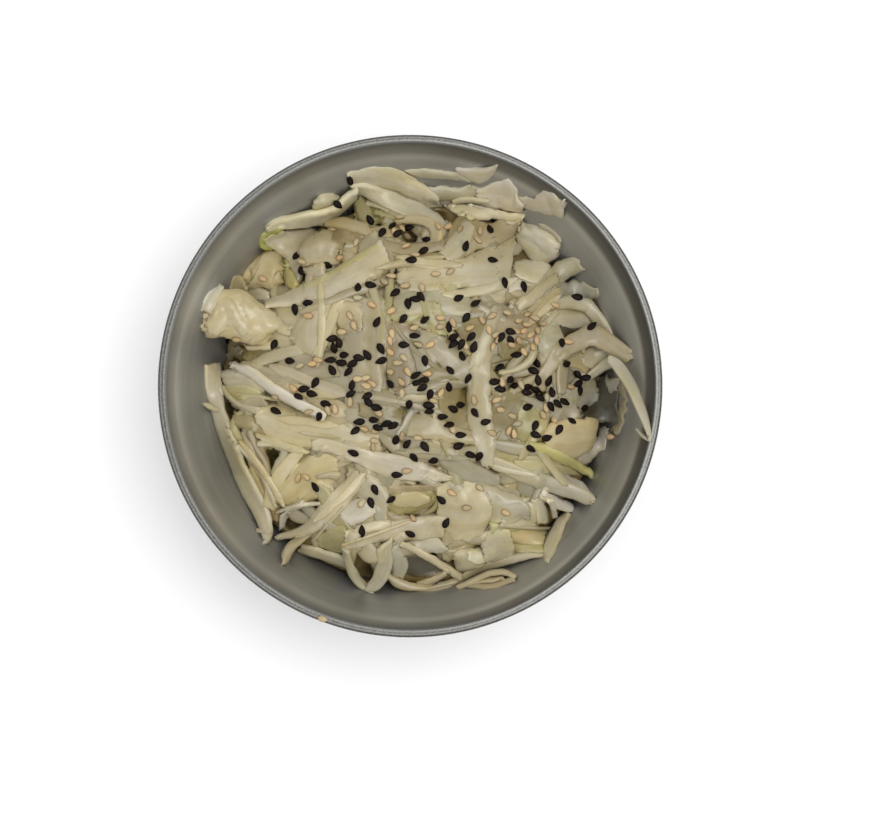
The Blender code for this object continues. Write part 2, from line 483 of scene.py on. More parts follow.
class Batch:
    """Many small closed meshes that become one object."""

    def __init__(self):
        self.vertices, self.faces, self.grain, self.tints = [], [], [], []
        self.count = 0

    def add(self, rings, grain, tint):
        """Adds one piece. rings is (stations, points round, 3), and a vertex closes each end.

        grain is (stations, points round, 2), and tint is one colour for each point.
        """
        stations, around, _ = rings.shape
        first = self.count
        ends = rings[[0, -1]].mean(axis=1)
        self.vertices.append(np.vstack((rings.reshape(-1, 3), ends)))
        self.grain.append(np.vstack((grain.reshape(-1, 2), grain[[0, -1]].mean(axis=1))))
        self.tints.append(np.vstack((tint.reshape(-1, 3), tint[[0, -1]].mean(axis=1))))
        index = first + np.arange(stations * around).reshape(stations, around)
        a, b = index[:-1], index[1:]
        quads = np.stack((a, b, np.roll(b, -1, axis=1), np.roll(a, -1, axis=1)), axis=-1).reshape(-1, 4)
        self.faces += quads.tolist()
        start, end = first + stations * around, first + stations * around + 1
        for step in range(around):
            following = (step + 1) % around
            self.faces.append((start, int(index[0, step]), int(index[0, following])))
            self.faces.append((end, int(index[-1, following]), int(index[-1, step])))
        self.count = end + 1

    def make(self, name, material):
        """The object, with its grain as a UV map and its tints as a colour attribute."""
        vertices = np.vstack(self.vertices)
        thing = new_object(name, vertices, self.faces, material)
        mesh = thing.data
        loops = np.zeros(len(mesh.loops), dtype=np.int32)
        mesh.loops.foreach_get("vertex_index", loops)
        layer = mesh.uv_layers.new(name="grain")
        layer.data.foreach_set("uv", np.vstack(self.grain)[loops].ravel())
        colours = np.column_stack((np.vstack(self.tints), np.ones(len(vertices))))
        attribute = mesh.color_attributes.new(name="tint", type="FLOAT_COLOR", domain="POINT")
        attribute.data.foreach_set("color", colours.ravel())
        return thing


# ---------------------------------------------------------------- the pile
# The pile's grid: its pitch, and how far it goes from the middle.
PITCH = 0.4 * MM
HALF = 0.066

# The core: how far its crown lies below the heap's top, and how far out and how high its edge is.
CORE_DROP = 0.0085
CORE_EDGE = 0.053
CORE_EDGE_HEIGHT = 0.0270
CORE_SHARPNESS = 2.6
CORE_ROUNDNESS = 0.8
CORE_RINGS = 70
CORE_SEGMENTS = 180

# Points between two given ones along a smooth path.
PATH_STEPS = 16

# Hollows between the pieces, where the photo looks deep down: pixel, radii in pixels, depth in metres.
HOLLOWS = (
    (437, 209, 9, 6, 0.005),
    (410, 234, 12, 8, 0.0045),
    (600, 402, 22, 26, 0.010),
    (424, 562, 19, 10, 0.008),
    (413, 502, 28, 13, 0.005),
    (271, 458, 9, 7, 0.008),
    (235, 352, 18, 8, 0.007),
    (228, 406, 7, 8, 0.008),
    (290, 522, 10, 6, 0.007),
    (367, 573, 7, 9, 0.007),
    (540, 216, 18, 6, 0.005),
    (575, 328, 14, 5, 0.004),
    (530, 535, 7, 6, 0.005),
    (455, 402, 12, 14, 0.003),
    (372, 212, 16, 9, 0.004),
    (345, 232, 10, 7, 0.004),
    (300, 272, 5, 6, 0.005),
    (270, 336, 7, 7, 0.004),
    (255, 352, 8, 6, 0.006),
    (458, 563, 5, 4, 0.005),
    (510, 350, 9, 6, 0.003),
    (545, 384, 6, 10, 0.004),
    (325, 537, 5, 5, 0.004),
)


def smooth_path(points, spacing):
    """Stations along a smooth curve through points of (x, y, anything else), closer together at its ends."""
    points = np.asarray(points, float)
    if len(points) < 3:
        points = np.insert(points, 1, points.mean(axis=0), axis=0)
    tangents = np.gradient(points, axis=0)
    dense = []
    for a, b, ta, tb in zip(points[:-1], points[1:], tangents[:-1], tangents[1:]):
        t = np.linspace(0, 1, PATH_STEPS, endpoint=False)[:, None]
        dense.append(
            (2 * t**3 - 3 * t**2 + 1) * a
            + (t**3 - 2 * t**2 + t) * ta
            + (3 * t**2 - 2 * t**3) * b
            + (t**3 - t**2) * tb
        )
    dense = np.vstack((*dense, points[-1]))
    steps = np.hypot(*np.diff(dense[:, :2], axis=0).T)
    length = np.concatenate(((0,), np.cumsum(steps)))
    wanted = station_places(length[-1], spacing)
    return np.column_stack([np.interp(wanted, length, column) for column in dense.T])


def station_places(length, spacing):
    """Distances along a piece: even ones, and three closer ones at each end."""
    close = spacing * np.array((0, 0.2, 0.55))
    between = np.linspace(spacing, length - spacing, max(4, int(length / spacing)))
    return np.concatenate((close, between, length - close[::-1]))


def smoother(places, reach):
    """Matrix of a local straight-line fit, which smooths values at these places and keeps their slope."""
    away = places[None, :] - places[:, None]
    weight = np.exp(-0.5 * (away / reach) ** 2)
    first = (weight * away).sum(axis=1, keepdims=True)
    second = (weight * away**2).sum(axis=1, keepdims=True)
    fit = weight * (second - away * first)
    return fit / fit.sum(axis=1, keepdims=True)


def drift(places, reach, size):
    """Smooth random values along a piece."""
    values = smoother(places, reach) @ RANDOM.normal(0, 1, len(places))
    return values * size / max(values.std(), 0.2)


def hollow_depth(x, y, level):
    """How far the hollows lower the pile at a point."""
    depth = np.zeros_like(x)
    for px, py, wide, high, deep in HOLLOWS:
        hollow_x, hollow_y = on_level(px, py, level)
        away = np.hypot((x - hollow_x) / (wide * METRES_PER_PX), (y - hollow_y) / (high * METRES_PER_PX))
        depth = np.maximum(depth, deep * np.exp(-(away**4)))
    return depth


def swell(along, across, height, pitch, sway, sway_pitch):
    """A wave whose crests sway from side to side."""
    return height * np.sin(along * pitch + sway * np.sin(across * sway_pitch))


def core_height(x, y):
    """Height of the core: a dome with two crossed swells on it, lowered by the hollows."""
    radius = np.hypot(x, y)
    share = np.clip(radius / CORE_EDGE, 0, 1)
    crown = HEAP_TOP - CORE_DROP - CORE_EDGE_HEIGHT
    dome = CORE_EDGE_HEIGHT + crown * (1 - share**CORE_SHARPNESS) ** CORE_ROUNDNESS
    lumps = swell(x, y, 0.0006, 410, 1.3, 260) + swell(y, x, 0.0005, 520, 1.7, 330)
    inside = radius < CORE_EDGE + 0.01 * MM
    return np.where(inside, dome + lumps - hollow_depth(x, y, HEAP_TOP - CORE_DROP), 0)


# The named tints of the pieces, as screen values.
TINTS = {
    "cream": srgb(191, 177, 137),
    "pale": srgb(191, 180, 147),
    "white": srgb(203, 193, 169),
    "milky": srgb(211, 202, 181),
    "bright": srgb(206, 196, 162),
    "clear": srgb(175, 165, 133),
    "dim": srgb(161, 148, 115),
    "green": srgb(183, 173, 122),
    "lime": srgb(171, 160, 100),
    "yellow": srgb(197, 180, 131),
    "brown": srgb(171, 151, 108),
    "butter": srgb(182, 165, 120),
    "fresh": srgb(196, 188, 120),
    "vivid": srgb(144, 144, 62),
    "grey": srgb(181, 174, 149),
    # The "shade" tint is painted shade: dark sheets laid in hollows where there is only shadow.
    "shade": srgb(66, 61, 48),
    "olive": srgb(147, 132, 81),
}
# The core's dark olive is painted shade: it stands for the shadowed gaps deep in the heap, and shows through
# the thin edges of what lies on it.
CORE_SHADE_COLOUR = srgb(106, 92, 54)
WALL_COLOUR = srgb(150, 146, 128)
# What the underside takes from its tint: light that comes through cabbage is yellower.
LIGHT_THROUGH = np.array((0.95, 0.88, 0.55))


class Pile:
    """Height and colour of what already lies in the bowl, on a square grid."""

    def __init__(self):
        axis = np.arange(-HALF, HALF + PITCH, PITCH)
        x, y = np.meshgrid(axis, axis, indexing="ij")
        self.height = np.maximum(core_height(x, y), wall_height(np.hypot(x, y)))
        on_wall = (wall_height(np.hypot(x, y)) > core_height(x, y))[..., None]
        self.colour = np.where(on_wall, WALL_COLOUR, CORE_SHADE_COLOUR)
        self.last = len(axis) - 1

    def at(self, x, y):
        """Height of the pile at a place, between those of the grid."""
        fx = np.clip((x + HALF) / PITCH, 0, self.last - 0.001)
        fy = np.clip((y + HALF) / PITCH, 0, self.last - 0.001)
        ix, iy = fx.astype(int), fy.astype(int)
        fx, fy = fx - ix, fy - iy
        h = self.height
        low = h[ix, iy] * (1 - fx) + h[ix + 1, iy] * fx
        high = h[ix, iy + 1] * (1 - fx) + h[ix + 1, iy + 1] * fx
        return low * (1 - fy) + high * fy

    def cell(self, x, y):
        """The nearest place on the grid."""
        ix = np.clip(((x + HALF) / PITCH).round().astype(int), 0, self.last)
        iy = np.clip(((y + HALF) / PITCH).round().astype(int), 0, self.last)
        return ix, iy

    def cover(self, grid, tint):
        """Raises the pile to a grid of points on top of a new piece, and takes on its colour there."""
        for _ in range(2):
            grid = np.concatenate((grid, (grid[1:] + grid[:-1]) / 2))
            tint = np.concatenate((tint, (tint[1:] + tint[:-1]) / 2))
            grid, tint = grid.swapaxes(0, 1), tint.swapaxes(0, 1)
        points, tint = grid.reshape(-1, 3), tint.reshape(-1, 3)
        order = np.argsort(points[:, 2])
        points, tint = points[order], tint[order]
        ix, iy = self.cell(points[:, 0], points[:, 1])
        seen = points[:, 2] >= self.height[ix, iy] - SINK
        self.colour[ix[seen], iy[seen]] = tint[seen]
        np.maximum.at(self.height, (ix, iy), points[:, 2])


pile = Pile()

# Kinds of cabbage piece: a firm strip, a narrow thread, a thin leaf, a crinkled wet ruffle, a chunk of
# stem, a see-through veil, and the fine strands. For each of them:
# thick: its thickness. stiff: how stiff it lies along and across it, in millimetres.
# square: how square its section is, and soft: how gently the section rounds off.
# rounded: how far its ends are rounded. crease: how deep the crease along it is, as a share.
# ripple: how high its ripples are. ragged: how uneven its edges are, as a share of its width.
# torn: how torn its edges are. torn_end: how torn its ends are.
# droop: how far its edges droop onto what lies beneath, as a share. edge: how near them the droop keeps.
# show: how much of the colour beneath shows through its middle and through its edges.
KINDS = {
    "strip": dict(
        thick=1.05 * MM, stiff=(4, 2), square=7.0, soft=0.35, rounded=0.30 * MM, crease=0.25,
        ripple=0.06 * MM, ragged=0.04, torn=0.04 * MM, torn_end=0.25 * MM,
        droop=0.35, edge=8, show=(0.10, 0.25),
    ),
    "thread": dict(
        thick=0.8 * MM, stiff=(5, 2), square=4.0, soft=0.5, rounded=0.30 * MM, crease=0.15,
        ripple=0.03 * MM, ragged=0.05, torn=0.02 * MM, torn_end=0.20 * MM,
        droop=0.4, edge=6, show=(0.10, 0.25),
    ),
    "leaf": dict(
        thick=0.60 * MM, stiff=(2.4, 2.0), square=3.0, soft=0.8, rounded=0.25 * MM, crease=0.15,
        ripple=0.16 * MM, ragged=0.03, torn=0.10 * MM, torn_end=0.30 * MM,
        droop=1.0, edge=5, show=(0.15, 0.45),
    ),
    "ruffle": dict(
        thick=0.45 * MM, stiff=(1.8, 1.6), square=3.0, soft=0.8, rounded=0.25 * MM, crease=0.10,
        ripple=0.30 * MM, ragged=0.08, torn=0.36 * MM, torn_end=0.45 * MM,
        droop=1.0, edge=5, show=(0.25, 0.50),
    ),
    "chunk": dict(
        thick=3.2 * MM, stiff=(9, 8), square=3.6, soft=0.5, rounded=3.0 * MM, crease=0.15,
        ripple=0.14 * MM, ragged=0.03, torn=0.08 * MM, torn_end=0.30 * MM,
        droop=0.9, edge=6, show=(0.0, 0.15),
    ),
    "veil": dict(
        thick=0.30 * MM, stiff=(2.2, 1.8), square=4.0, soft=0.9, rounded=0.60 * MM, crease=0.10,
        ripple=0.04 * MM, ragged=0.06, torn=0.05 * MM, torn_end=0.30 * MM,
        droop=0.8, edge=4, show=(0.35, 0.90),
    ),
    "fine": dict(
        thick=0.40 * MM, stiff=(3.0, 1.2), square=4.0, soft=0.6, rounded=0.30 * MM, crease=0.20,
        ripple=0.03 * MM, ragged=0.08, torn=0.02 * MM, torn_end=0.20 * MM,
        droop=0.6, edge=5, show=(0.25, 0.65),
    ),
}

# How much lighter a piece is at its thin edges, which light shines through.
EDGE_GLOW = 0.40

# The mesh of a piece: the distance between its stations and between its columns, the fewest and the most
# columns, and up to how many columns the underside has as many as the top.
STATION = 0.75 * MM
COLUMN = 0.75 * MM
FEWEST_COLUMNS = 5
MOST_COLUMNS = 19
FULL_UNDERSIDE = 7

# How far a piece sinks when it is draped over what carries it, how far its underside reaches into that, and
# how far at most its edges droop and its underside sags.
SINK = 0.30 * MM
CONTACT = 0.12 * MM
DEEPEST_DROOP = 1.5 * MM
DEEPEST_SAG = 0.9 * MM

# Laying a piece: how often it is smoothed and lifted clear, over what share of it, and by how much at most.
DRAPE_ROUNDS = 4
DRAPE_CLEAR = 0.85
DRAPE_LIFT = 0.4 * MM

# The edges of a piece: steps along one that is read off the photograph, how far its corners are rounded, the
# lengths of its broad and fine waves, and the slant of a strip's ends.
EDGE_STEPS = 120
CORNER_ROUNDING = 0.35 * MM
BROAD_WAVE = 1.6 * MM
FINE_WAVE = 0.5 * MM
END_SLANT = 0.9

# The thickness of a piece: how it varies from piece to piece, the most as a share of the half width, and
# what is left at the edges and at the ends.
THICKNESS_RANGE = (0.8, 1.25)
THICKEST = 1.4
EDGE_THICKNESS = 0.06
END_THICKNESS = 0.15

# How much the colour varies: in lightness and warmth from piece to piece, and along and across a piece.
LIGHTNESS_SPREAD = 0.02
WARMTH_SPREAD = 0.012
ALONG_SPREAD = 0.05
TILT_SPREAD = 0.06
ACROSS_SPREAD = 0.035


def ripples(distance, reach, size):
    """A sum of three waves in random directions over a piece."""
    total = np.zeros(np.broadcast(distance, reach).shape)
    for _ in range(3):
        heading = RANDOM.uniform(0, math.tau)
        length = RANDOM.uniform(4 * MM, 11 * MM)
        phase = RANDOM.uniform(0, math.tau)
        travel = distance * math.cos(heading) + reach * math.sin(heading)
        total += np.sin(travel * math.tau / length + phase)
    return total * size


def drape(support, along, across, stiff):
    """Underside of a sheet on an uneven surface: as smooth as the sheet is stiff, hardly ever below it."""
    smooth_along = smoother(along, stiff[0])
    smooth_across = smoother(across, stiff[1]).T
    floor = support - SINK
    height = smooth_along @ floor @ smooth_across
    for _ in range(DRAPE_ROUNDS):
        height = smooth_along @ np.maximum(height, floor) @ smooth_across
    short = np.quantile(floor - height, DRAPE_CLEAR)
    return height + min(max(short, 0), DRAPE_LIFT)


def unit_rows(vectors):
    return vectors / np.linalg.norm(vectors, axis=-1, keepdims=True)


def distances(points):
    """Distance of each point along a line of points."""
    return np.concatenate(((0,), np.cumsum(np.hypot(*np.diff(points, axis=0).T))))


def columns_across(widest):
    """Places across a piece from -1 to 1, closer together towards its edges."""
    count = max(FEWEST_COLUMNS, min(MOST_COLUMNS, int(2 * widest / COLUMN) + 4))
    even = np.linspace(-1, 1, count)
    return 0.5 * even + 0.5 * np.sin(even * math.pi / 2)


def strip_plan(path, ragged, scale=1.0):
    """Plan of a strip along a path of (x, y, half width), seen from above, and its columns.

    The ends are cut at a slant. scale is the size of a metre in the path's unit.
    """
    centre, half = path[:, :2], path[:, 2]
    distance = distances(centre) / scale
    along = unit_rows(np.gradient(centre, axis=0))
    aside = np.column_stack((-along[:, 1], along[:, 0]))
    widest = half.max()
    columns = columns_across(widest / scale)
    left = half * (1 + drift(distance, BROAD_WAVE, ragged))
    right = half * (1 + drift(distance, BROAD_WAVE, ragged))
    cut = 2.5 * widest / scale
    near_start = np.clip(1 - distance / cut, 0, 1)
    near_end = np.clip(1 - (distance[-1] - distance) / cut, 0, 1)
    slant = RANDOM.uniform(-END_SLANT, END_SLANT) * near_start
    slant = slant + RANDOM.uniform(-END_SLANT, END_SLANT) * near_end
    reach = np.where(columns > 0, left[:, None] * columns, right[:, None] * columns)
    plan = centre[:, None] + aside[:, None] * reach[..., None]
    return plan + along[:, None] * (slant[:, None] * reach)[..., None], columns


def edge_stations(edge, places):
    """Points along an edge at these shares of its length, with its corners just rounded."""
    edge = np.asarray(edge, float)
    length = distances(edge)
    dense = np.linspace(0, length[-1], EDGE_STEPS)
    line = np.column_stack([np.interp(dense, length, column) for column in edge.T])
    rounded = smoother(dense, CORNER_ROUNDING / METRES_PER_PX + length[-1] / 200) @ line
    return np.column_stack([np.interp(places * length[-1], dense, column) for column in rounded.T])


def sheet_plan(first, second, ragged, torn):
    """Plan of a leaf between two edges read off the photograph, in pixels, and its columns."""
    first, second = np.asarray(first, float), np.asarray(second, float)
    length = max(distances(first)[-1], distances(second)[-1]) * METRES_PER_PX
    places = station_places(length, STATION) / length
    first, second = edge_stations(first, places), edge_stations(second, places)
    travel = np.gradient((first + second) / 2, axis=0)
    gap = second - first
    if (travel[:, 0] * gap[:, 1] - travel[:, 1] * gap[:, 0]).sum() > 0:
        first, second, gap = second, first, -gap
    widest = np.hypot(*gap.T).max() / 2
    columns = columns_across(widest * METRES_PER_PX)
    distance = places * length
    wobble = np.hypot(*gap.T).mean() / 2 * ragged
    for edge, side in ((first, -1), (second, 1)):
        out = drift(distance, BROAD_WAVE, wobble) + drift(distance, FINE_WAVE, torn / METRES_PER_PX)
        edge += side * unit_rows(gap) * out[:, None]
    share = ((columns + 1) / 2)[None, :, None]
    return first[:, None] * (1 - share) + second[:, None] * share, columns


def tear_ends(plan, columns, size):
    """Makes the straight ends of a plan uneven."""
    centre = plan.mean(axis=1)
    distance = distances(centre)
    along = unit_rows(np.gradient(centre, axis=0))
    for from_end, side in ((distance, -1), (distance[-1] - distance, 1)):
        out = RANDOM.normal(0, size, len(columns))
        reach = out * np.clip(1 - from_end / (5 * size), 0, 1)[:, None]
        plan = plan + side * along[:, None] * reach[..., None]
    return plan


# How often a piece's place is worked out again from the height of the pile there.
PLACING_ROUNDS = 5


def from_photo(plan, heights=None):
    """A plan in pixels as a plan in metres, on the pile or at the heights given for its stations."""
    px, py = plan[..., 0], plan[..., 1]
    if heights is not None:
        return np.stack(on_level(px, py, heights[:, None]), axis=-1)
    z = np.full(px.shape, HEAP_TOP)
    for _ in range(PLACING_ROUNDS):
        x, y = on_level(px, py, z)
        z = (z + pile.at(x, y)) / 2
    return np.stack((x, y), axis=-1)


def varied(colour, lightness, warmth):
    """A colour a little lighter or darker, and warmer or cooler, at random."""
    lighter = 1 + RANDOM.normal(0, lightness)
    warmer = 1 + RANDOM.normal(0, warmth)
    return colour * lighter * np.array((warmer, 1, 1 / warmer))


class Piece:
    """One piece of cabbage: a grid of places seen from above, of stations along it and columns across it.

    The columns go from -1 to 1.
    """

    def __init__(self, kind, plan, columns):
        self.kind = kind
        self.form = KINDS[kind]
        self.columns = columns
        self.plan = tear_ends(plan, columns, self.form["torn_end"])
        self.distance = distances(self.plan.mean(axis=1))
        self.half = np.linalg.norm(self.plan[:, -1] - self.plan[:, 0], axis=-1) / 2
        self.widest = self.half.max()
        from_end = np.minimum(self.distance, self.distance[-1] - self.distance)
        self.rounding = np.sqrt(1 - (1 - np.clip(from_end / self.form["rounded"], 0, 1)) ** 2)
        self.at_end = (1 - self.rounding)[:, None]

    def waves(self, size):
        """Random ripples over the piece."""
        return ripples(self.distance[:, None], self.half[:, None] * self.columns, size)

    def underside(self, support):
        """Heights of the underside on its support: draped, with its edges and ends drooping onto it."""
        stiff = [reach * MM for reach in self.form["stiff"]]
        bottom = drape(support, self.distance, self.columns * self.widest, stiff)
        bottom = np.maximum(bottom, support - 0.5 * self.form["thick"])
        share = self.form["droop"] * np.maximum(abs(self.columns) ** self.form["edge"], 0.6 * self.at_end)
        return bottom + (np.clip(support, bottom - DEEPEST_DROOP, bottom) - bottom) * share

    def thickness(self):
        """Rounded across, with a crease along it, and thin at its ends."""
        thick = min(self.form["thick"] * RANDOM.uniform(*THICKNESS_RANGE), THICKEST * self.widest)
        fold = RANDOM.uniform(-0.5, 0.5)
        lean = RANDOM.uniform(-0.3, 0.3) * self.columns
        body = 1 + lean - self.form["crease"] * (abs(self.columns - fold) - 0.5)
        body = body * (1 - abs(self.columns) ** self.form["square"]) ** self.form["soft"]
        full = END_THICKNESS + (1 - END_THICKNESS) * self.rounding[:, None]
        body = np.repeat(body[None], len(self.distance), axis=0) * full
        if self.kind == "chunk":
            body = body * (0.90 + 0.5 * abs(self.waves(0.10)))
        return (EDGE_THICKNESS + body) * thick

    def colour(self, tint, tone):
        """Colour of the upper side, with what lies beneath showing through, most at the thin edges."""
        shade = varied(tint, LIGHTNESS_SPREAD, WARMTH_SPREAD) * tone
        fade = (1 + drift(self.distance, 4 * MM, ALONG_SPREAD))[:, None]
        fade = fade * (1 + TILT_SPREAD * RANDOM.uniform(-1, 1) * self.columns)
        fade = fade * (1 + drift(self.columns * self.widest, 0.7 * MM, ACROSS_SPREAD))
        at_edge = self.columns**6
        # Painted light at the thin edges and ends.
        fade = fade * (1 + EDGE_GLOW * np.maximum(at_edge, 0.7 * self.at_end))
        middle, edge = self.form["show"]
        show = np.maximum(middle + (edge - middle) * at_edge, 0.6 * edge * self.at_end**2)[..., None]
        beneath = pile.colour[pile.cell(self.plan[..., 0], self.plan[..., 1])]
        return fade[..., None] * shade * (1 - show) + beneath * show

    def lay(self, batch, tint, heights=None, tone=1.0):
        """Adds the piece to a mesh and to the pile, which carries it where no heights are given."""
        if heights is None:
            support = pile.at(self.plan[..., 0], self.plan[..., 1])
            bottom = self.underside(support)
        else:
            bottom = support = np.repeat(heights[:, None], len(self.columns), axis=1)
        bottom = bottom + self.waves(self.form["ripple"] / 2)
        surface = np.concatenate((self.plan, bottom[..., None]), axis=-1)
        normal = unit_rows(np.cross(np.gradient(surface, axis=0), np.gradient(surface, axis=1)))
        top = surface + normal * self.thickness()[..., None]
        surface[..., 2] = np.clip(support - CONTACT, bottom - DEEPEST_SAG, bottom)
        colour = self.colour(tint, tone)

        back = slice(None, None, -1 if len(self.columns) <= FULL_UNDERSIDE else -2)
        rings = np.concatenate((top, surface[:, back]), axis=1)
        colours = np.concatenate((colour, colour[:, back] * LIGHT_THROUGH), axis=1)
        across = self.half[:, None] * np.concatenate((self.columns, self.columns[back]))
        along = np.broadcast_to(self.distance[:, None], across.shape)
        batch.add(rings, np.stack((along, across), axis=-1) + RANDOM.uniform(0, 1, 2), colours)
        pile.cover(top, colour)


# ---------------------------------------------------------------- cabbage read off the photograph
# A strip is a kind, a tint, and a path of (x, y, half width) in pixels of the photograph. A broad piece is a
# kind, a tint, and its two edges as (x, y). Pieces later in a list lie on the earlier ones.
DEEP_PIECES = (
    ("leaf", "brown", ((386, 486), (384, 500), (388, 515)), ((440, 484), (442, 498), (432, 514))),
    ("leaf", "lime", ((386, 502), (392, 492), (406, 488), (420, 487), (432, 490), (439, 498)),
     ((388, 511), (398, 515), (410, 514), (420, 511), (428, 508), (436, 503))),
    ("leaf", "yellow", ((390, 499), (400, 491), (416, 490), (430, 495)),
     ((394, 506), (404, 508), (418, 507), (430, 502))),
    ("thread", "lime", ((434, 486, 1), (438, 496, 2), (434, 508, 1.5), (424, 514, 1))),
    ("leaf", "lime", ((356, 198), (372, 196), (388, 203), (402, 212)),
     ((354, 222), (370, 224), (388, 222), (402, 220))),
    ("leaf", "green", ((361, 195), (366, 200), (372, 210), (377, 219)),
     ((354, 203), (355, 212), (357, 220), (366, 226))),
    ("strip", "bright", ((366, 201, 3), (378, 204, 4), (392, 211, 4))),
    ("strip", "green", ((376, 212, 2), (390, 216, 3), (404, 219, 3))),
    # A painted-shade sheet in the hollow on the right.
    ("leaf", "shade", ((594, 378), (606, 376), (620, 380)), ((580, 420), (600, 424), (618, 422))),
    ("leaf", "olive", ((438, 384), (455, 382), (466, 390)), ((440, 432), (456, 440), (470, 430))),
    ("leaf", "dim", ((425, 296), (450, 298), (485, 310)), ((428, 325), (450, 330), (480, 332))),
    ("leaf", "yellow", ((528, 296), (545, 294), (555, 300)), ((528, 316), (545, 320), (556, 316))),
    # A painted-shade sheet in the dark pocket under the arch.
    ("leaf", "shade", ((552, 322), (575, 320), (596, 322)), ((555, 336), (575, 338), (596, 334))),
    ("leaf", "olive", ((258, 332), (272, 330), (282, 336)), ((262, 350), (276, 352), (286, 350))),
    ("leaf", "olive", ((236, 348), (250, 344), (285, 340)), ((240, 362), (255, 363), (290, 356))),
    ("ruffle", "dim", ((226, 352), (234, 344), (243, 345)), ((230, 361), (237, 358), (243, 355))),
    ("leaf", "olive", ((242, 352), (250, 349), (256, 352)), ((246, 361), (252, 363), (258, 360))),
    ("leaf", "brown", ((325, 222), (345, 222), (365, 236)), ((330, 240), (345, 244), (360, 250))),
    ("leaf", "green", ((318, 535), (330, 524), (347, 526)), ((320, 549), (335, 554), (350, 552))),
    ("leaf", "olive", ((496, 340), (512, 336), (530, 340)), ((500, 362), (515, 360), (528, 356))),
    ("strip", "dim", ((500, 385, 4), (516, 362, 5), (532, 345, 4))),
    ("leaf", "clear", ((395, 292), (430, 288), (470, 292)), ((392, 318), (430, 316), (470, 316))),
    ("leaf", "brown", ((384, 320), (384, 355), (390, 392)), ((412, 322), (416, 355), (410, 392))),
    ("leaf", "dim", ((345, 384), (370, 384), (398, 392)), ((345, 408), (372, 408), (398, 408))),
    ("leaf", "clear", ((290, 356), (325, 352), (356, 372)), ((290, 384), (325, 394), (350, 398))),
    ("leaf", "brown", ((470, 318), (500, 316), (535, 312)), ((470, 342), (505, 342), (538, 336))),
    ("leaf", "green", ((490, 440), (525, 438), (560, 444)), ((490, 462), (525, 466), (562, 474))),
    ("leaf", "clear", ((442, 444), (470, 460), (500, 474)), ((440, 466), (466, 484), (500, 494))),
    ("leaf", "pale", ((450, 482), (485, 482), (520, 490)), ((450, 505), (485, 508), (520, 510))),
    ("leaf", "fresh", ((490, 520), (520, 520), (548, 528)), ((492, 540), (520, 545), (545, 552))),
    ("leaf", "pale", ((236, 446), (252, 470), (264, 498)), ((252, 444), (270, 470), (280, 500))),
    ("leaf", "brown", ((478, 486), (490, 484), (500, 490)), ((476, 500), (490, 502), (500, 502))),
)
TOP_EDGE_PIECES = (
    ("leaf", "milky", ((405, 178), (425, 186), (445, 188), (465, 186), (482, 189), (495, 200)),
     ((412, 200), (430, 205), (450, 206), (468, 205), (484, 208), (500, 212))),
    ("leaf", "clear", ((404, 170), (415, 167), (427, 168), (445, 170), (460, 172), (470, 179)),
     ((414, 175), (424, 178), (440, 179), (455, 180), (463, 181), (471, 183))),
    ("leaf", "clear", ((424, 185), (434, 187), (444, 185), (456, 188), (470, 184), (479, 188), (486, 187)),
     ((428, 200), (440, 202), (455, 200), (470, 203), (480, 201), (490, 203))),
    ("leaf", "white", ((456, 167), (466, 168), (476, 167), (488, 168), (498, 164)),
     ((458, 172), (466, 178), (478, 186), (488, 181), (494, 173))),
    ("ruffle", "white", ((502, 198), (516, 197), (526, 198), (535, 199), (537, 191), (546, 190),
      (549, 194), (556, 195), (558, 199), (566, 198)),
     ((505, 208), (519, 209), (530, 211), (545, 213), (552, 213), (556, 216), (560, 220), (563, 213),
      (565, 208), (566, 203))),
    ("leaf", "white", ((477, 187), (486, 186), (492, 182), (500, 181), (508, 178), (513, 184), (518, 188),
      (517, 197), (524, 204)),
     ((478, 199), (488, 203), (492, 207), (500, 209), (505, 212), (512, 212), (516, 213), (520, 212),
      (523, 212))),
    ("leaf", "pale", ((346, 172), (352, 169), (358, 170), (364, 166), (372, 166), (385, 166), (392, 167),
      (400, 170), (410, 175), (424, 183), (438, 196)),
     ((350, 184), (356, 184), (362, 186), (368, 188), (375, 192), (382, 195), (390, 198), (404, 203),
      (415, 206), (428, 207), (440, 206))),
    ("thread", "clear", ((452, 202, 2), (466, 199, 3), (488, 201, 2))),
    ("strip", "bright", ((444, 205), (460, 203), (476, 204), (490, 207), (500, 212), (515, 212),
      (525, 214)),
     ((449, 210), (460, 215), (468, 219), (485, 220), (495, 218), (510, 220), (524, 219))),
    ("strip", "grey", ((350, 184), (364, 181), (380, 187), (400, 198), (420, 204), (430, 208), (439, 216),
      (449, 226)),
     ((352, 190), (366, 198), (382, 206), (400, 215), (418, 221), (432, 229), (438, 236), (441, 241))),
    ("leaf", "dim", ((440, 246), (452, 233), (463, 222), (478, 221), (490, 223), (505, 221), (518, 221)),
     ((447, 263), (462, 259), (476, 250), (495, 246), (505, 242), (512, 240), (518, 238))),
    ("leaf", "clear", ((438, 252), (446, 242), (454, 232), (462, 219)),
     ((452, 262), (464, 255), (470, 246), (476, 226))),
    ("chunk", "grey", ((518, 225), (530, 223), (541, 223), (551, 231), (558, 238), (561, 247)),
     ((519, 241), (524, 251), (530, 259), (540, 264), (550, 260), (558, 252))),
    ("leaf", "dim", ((538, 222), (545, 223), (552, 228), (561, 236), (562, 243)),
     ((541, 228), (547, 231), (553, 234), (559, 241))),
)
